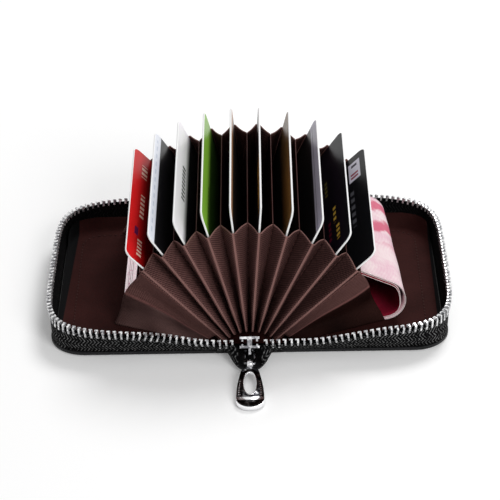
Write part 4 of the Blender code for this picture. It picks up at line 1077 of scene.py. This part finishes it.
def makeNotes(side, word):
    # sheets nested round one bend: along the lining, round an arc and back up, each a little inside the last;
    # the inner ones draw away from the outer ones in a crescent, the square of a half sine wave round the arc
    paper = paperFinish(f"notePaper{word.capitalize()}", *outerPaper)
    inner = paperFinish(f"noteInside{word.capitalize()}", *innerPaper) if side > 0 else paper
    base = notes["floor"] + notes["stack"] / 2
    middleBend, bendAt, tilt = notes["bend"][side], notes["bendAt"][side], notes["tilt"][side]
    for i, (offset, parting, thick) in enumerate(noteSheets[side]):
        turn = np.linspace(-math.pi / 2, math.pi / 2 - tilt, 30)
        parted = np.clip((turn - notes["partFrom"]) / notes["partOver"], 0, 1)
        bend = middleBend + offset - parting * np.sin(math.pi * parted) ** 2
        arcX = bendAt + bend * np.cos(turn)
        arcZ = base + middleBend + bend * np.sin(turn)
        lower = np.linspace(bendAt - notes["lowerArm"] + notes["stepIn"] * (i % 4), bendAt, 8)[:-1]
        run = np.linspace(0, notes["upperArm"] - notes["stepBack"] * (i % 4), 10)[1:]
        x = np.concatenate([lower, arcX, arcX[-1] - run * math.cos(tilt)])
        z = np.concatenate([np.full(len(lower), arcZ[0]), arcZ, arcZ[-1] + run * math.sin(tilt)])
        front, back = notes["front"][side] + notes["stepY"] * (i % 3), notes["back"] - notes["stepY"] * i
        y = np.linspace(front, back, 26)[None, :]
        acrossWaves, alongWaves = notes["waves"]
        ripple = np.sin(y * acrossWaves + i) * np.sin(np.linspace(0, alongWaves, len(x)))[:, None] * notes["ripple"]
        aslant = notes["skew"][side] * (y - notes["front"][side])
        grid = field(side * (x[:, None] + ripple - aslant), y, z[:, None] + ripple)
        run = lengths(np.column_stack([x, z]))
        uv = field(run[:, None], y)
        last = i == len(noteSheets[side]) - 1
        sheet = cloth(f"note{word.capitalize()}{i + 1}", grid, thick, inner if last else paper, uv, noteEdges[side])
        if i == 0:
            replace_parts(sheet, f"banknotes_{word}")
        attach(sheet, f"cover_{word}")
        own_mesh(sheet)


for side, word in words.items():
    makeWing(side, word, -1, "front", wing["lapFront"], wing["foldFront"])
    makeWing(side, word, 1, "back", wing["lapBack"], wing["foldBack"])
    makeNotes(side, word)
print("note compartments made")


# Floor, light and camera

camera = {"place": (0.00428, -0.7540, 0.46417), "yaw": math.radians(-0.284), "pitch": math.radians(30.618),
          "roll": math.radians(-1.054), "lens": 157.62}


def makeCamera():
    yaw, pitch, roll = camera["yaw"], camera["pitch"], camera["roll"]
    ahead = np.array([math.sin(yaw) * math.cos(pitch), math.cos(yaw) * math.cos(pitch), -math.sin(pitch)])
    right = np.array([math.cos(yaw), -math.sin(yaw), 0.0])
    up = np.cross(right, ahead)
    turnedRight = math.cos(roll) * right + math.sin(roll) * up
    turnedUp = -math.sin(roll) * right + math.cos(roll) * up
    made = inScene("camera", bpy.data.cameras.new("camera"))
    made.data.lens, made.data.sensor_width = camera["lens"], 36.0
    made.data.clip_start, made.data.clip_end = 0.01, 50.0
    matrix = Matrix.Identity(4)
    for i, axis in enumerate((turnedRight, turnedUp, -ahead)):
        for row in range(3):
            matrix[row][i] = axis[row]
    for row in range(3):
        matrix[row][3] = camera["place"][row]
    made.matrix_world = matrix
    bpy.context.scene.camera = made


def makeLamp(name, place, size, power):
    lamp = bpy.data.lights.new(name, "AREA")
    lamp.shape, lamp.size, lamp.energy = "DISK", size, power
    made = inScene(name, lamp)
    made.location = place
    made.rotation_mode = "QUATERNION"
    made.rotation_quaternion = Vector(place).to_track_quat("Z", "Y")


def directSight(tree):  # 1 where a camera, glossy or transmission ray looks, for a plain background
    path = tree.nodes.new("ShaderNodeLightPath")
    seen = path.outputs["Is Camera Ray"]
    for ray in ("Is Glossy Ray", "Is Transmission Ray"):
        either = tree.nodes.new("ShaderNodeMath")
        either.operation = "MAXIMUM"
        tree.links.new(seen, either.inputs[0])
        tree.links.new(path.outputs[ray], either.inputs[1])
        seen = either.outputs[0]
    return seen


stage = {"size": 6.0, "drop": -0.00025, "floor": (0.90, 0.90, 0.90, 1), "lift": 0.16, "ambient": 0.33,
         "keyLamp": ((0.36, 0.72, 1.00), 0.6, 9.5), "fillLamp": ((0.45, -0.80, 0.60), 0.5, 5.0)}
white, none = (1, 1, 1, 1), (0, 0, 0, 1)


def floorFinish():
    # pale and matt, lifted to white where it is looked at, so that only the object's shadow stays
    finish = Finish("paleFloor")
    finish.set(Base_Color=stage["floor"], Roughness=0.9, Specular_IOR_Level=0.0)
    glow = finish.node("Emission", None, {"Color": white, "Strength": stage["lift"]})
    dark = finish.node("Emission", None, {"Color": none, "Strength": 0.0})
    lift = finish.node("MixShader", None, {0: Wire(finish, directSight(finish.tree)), 1: dark, 2: glow})
    both = finish.node("AddShader", None, {0: Wire(finish, finish.shader.outputs[0]), 1: lift})
    finish.tree.links.new(both.socket, finish.tree.nodes["Material Output"].inputs["Surface"])
    return finish.material


def makeStage():
    size = stage["size"]
    grid = np.array([[(-size, -size, 0), (-size, size, 0)], [(size, -size, 0), (size, size, 0)]], float)
    grid[..., 2] = stage["drop"]
    floor = wrap(grid.reshape(-1, 3), gridQuads(2, 2)[:, ::-1], "floor", floorFinish())
    world = bpy.data.worlds.new("studio")
    bpy.context.scene.world = world
    world.use_nodes = True
    tree = world.node_tree
    ambient = tree.nodes["Background"]
    shown = tree.nodes.new("ShaderNodeBackground")
    for background, strength in ((ambient, stage["ambient"]), (shown, 1.0)):
        background.inputs["Color"].default_value = white
        background.inputs["Strength"].default_value = strength
    mix = tree.nodes.new("ShaderNodeMixShader")
    tree.links.new(directSight(tree), mix.inputs[0])
    tree.links.new(ambient.outputs[0], mix.inputs[1])
    tree.links.new(shown.outputs[0], mix.inputs[2])
    tree.links.new(mix.outputs[0], tree.nodes["World Output"].inputs[0])
    for lamp in ("keyLamp", "fillLamp"):
        makeLamp(lamp, *stage[lamp])


makeCamera()
makeStage()
bpy.context.scene.view_settings.view_transform = "Standard"
print("stage made")
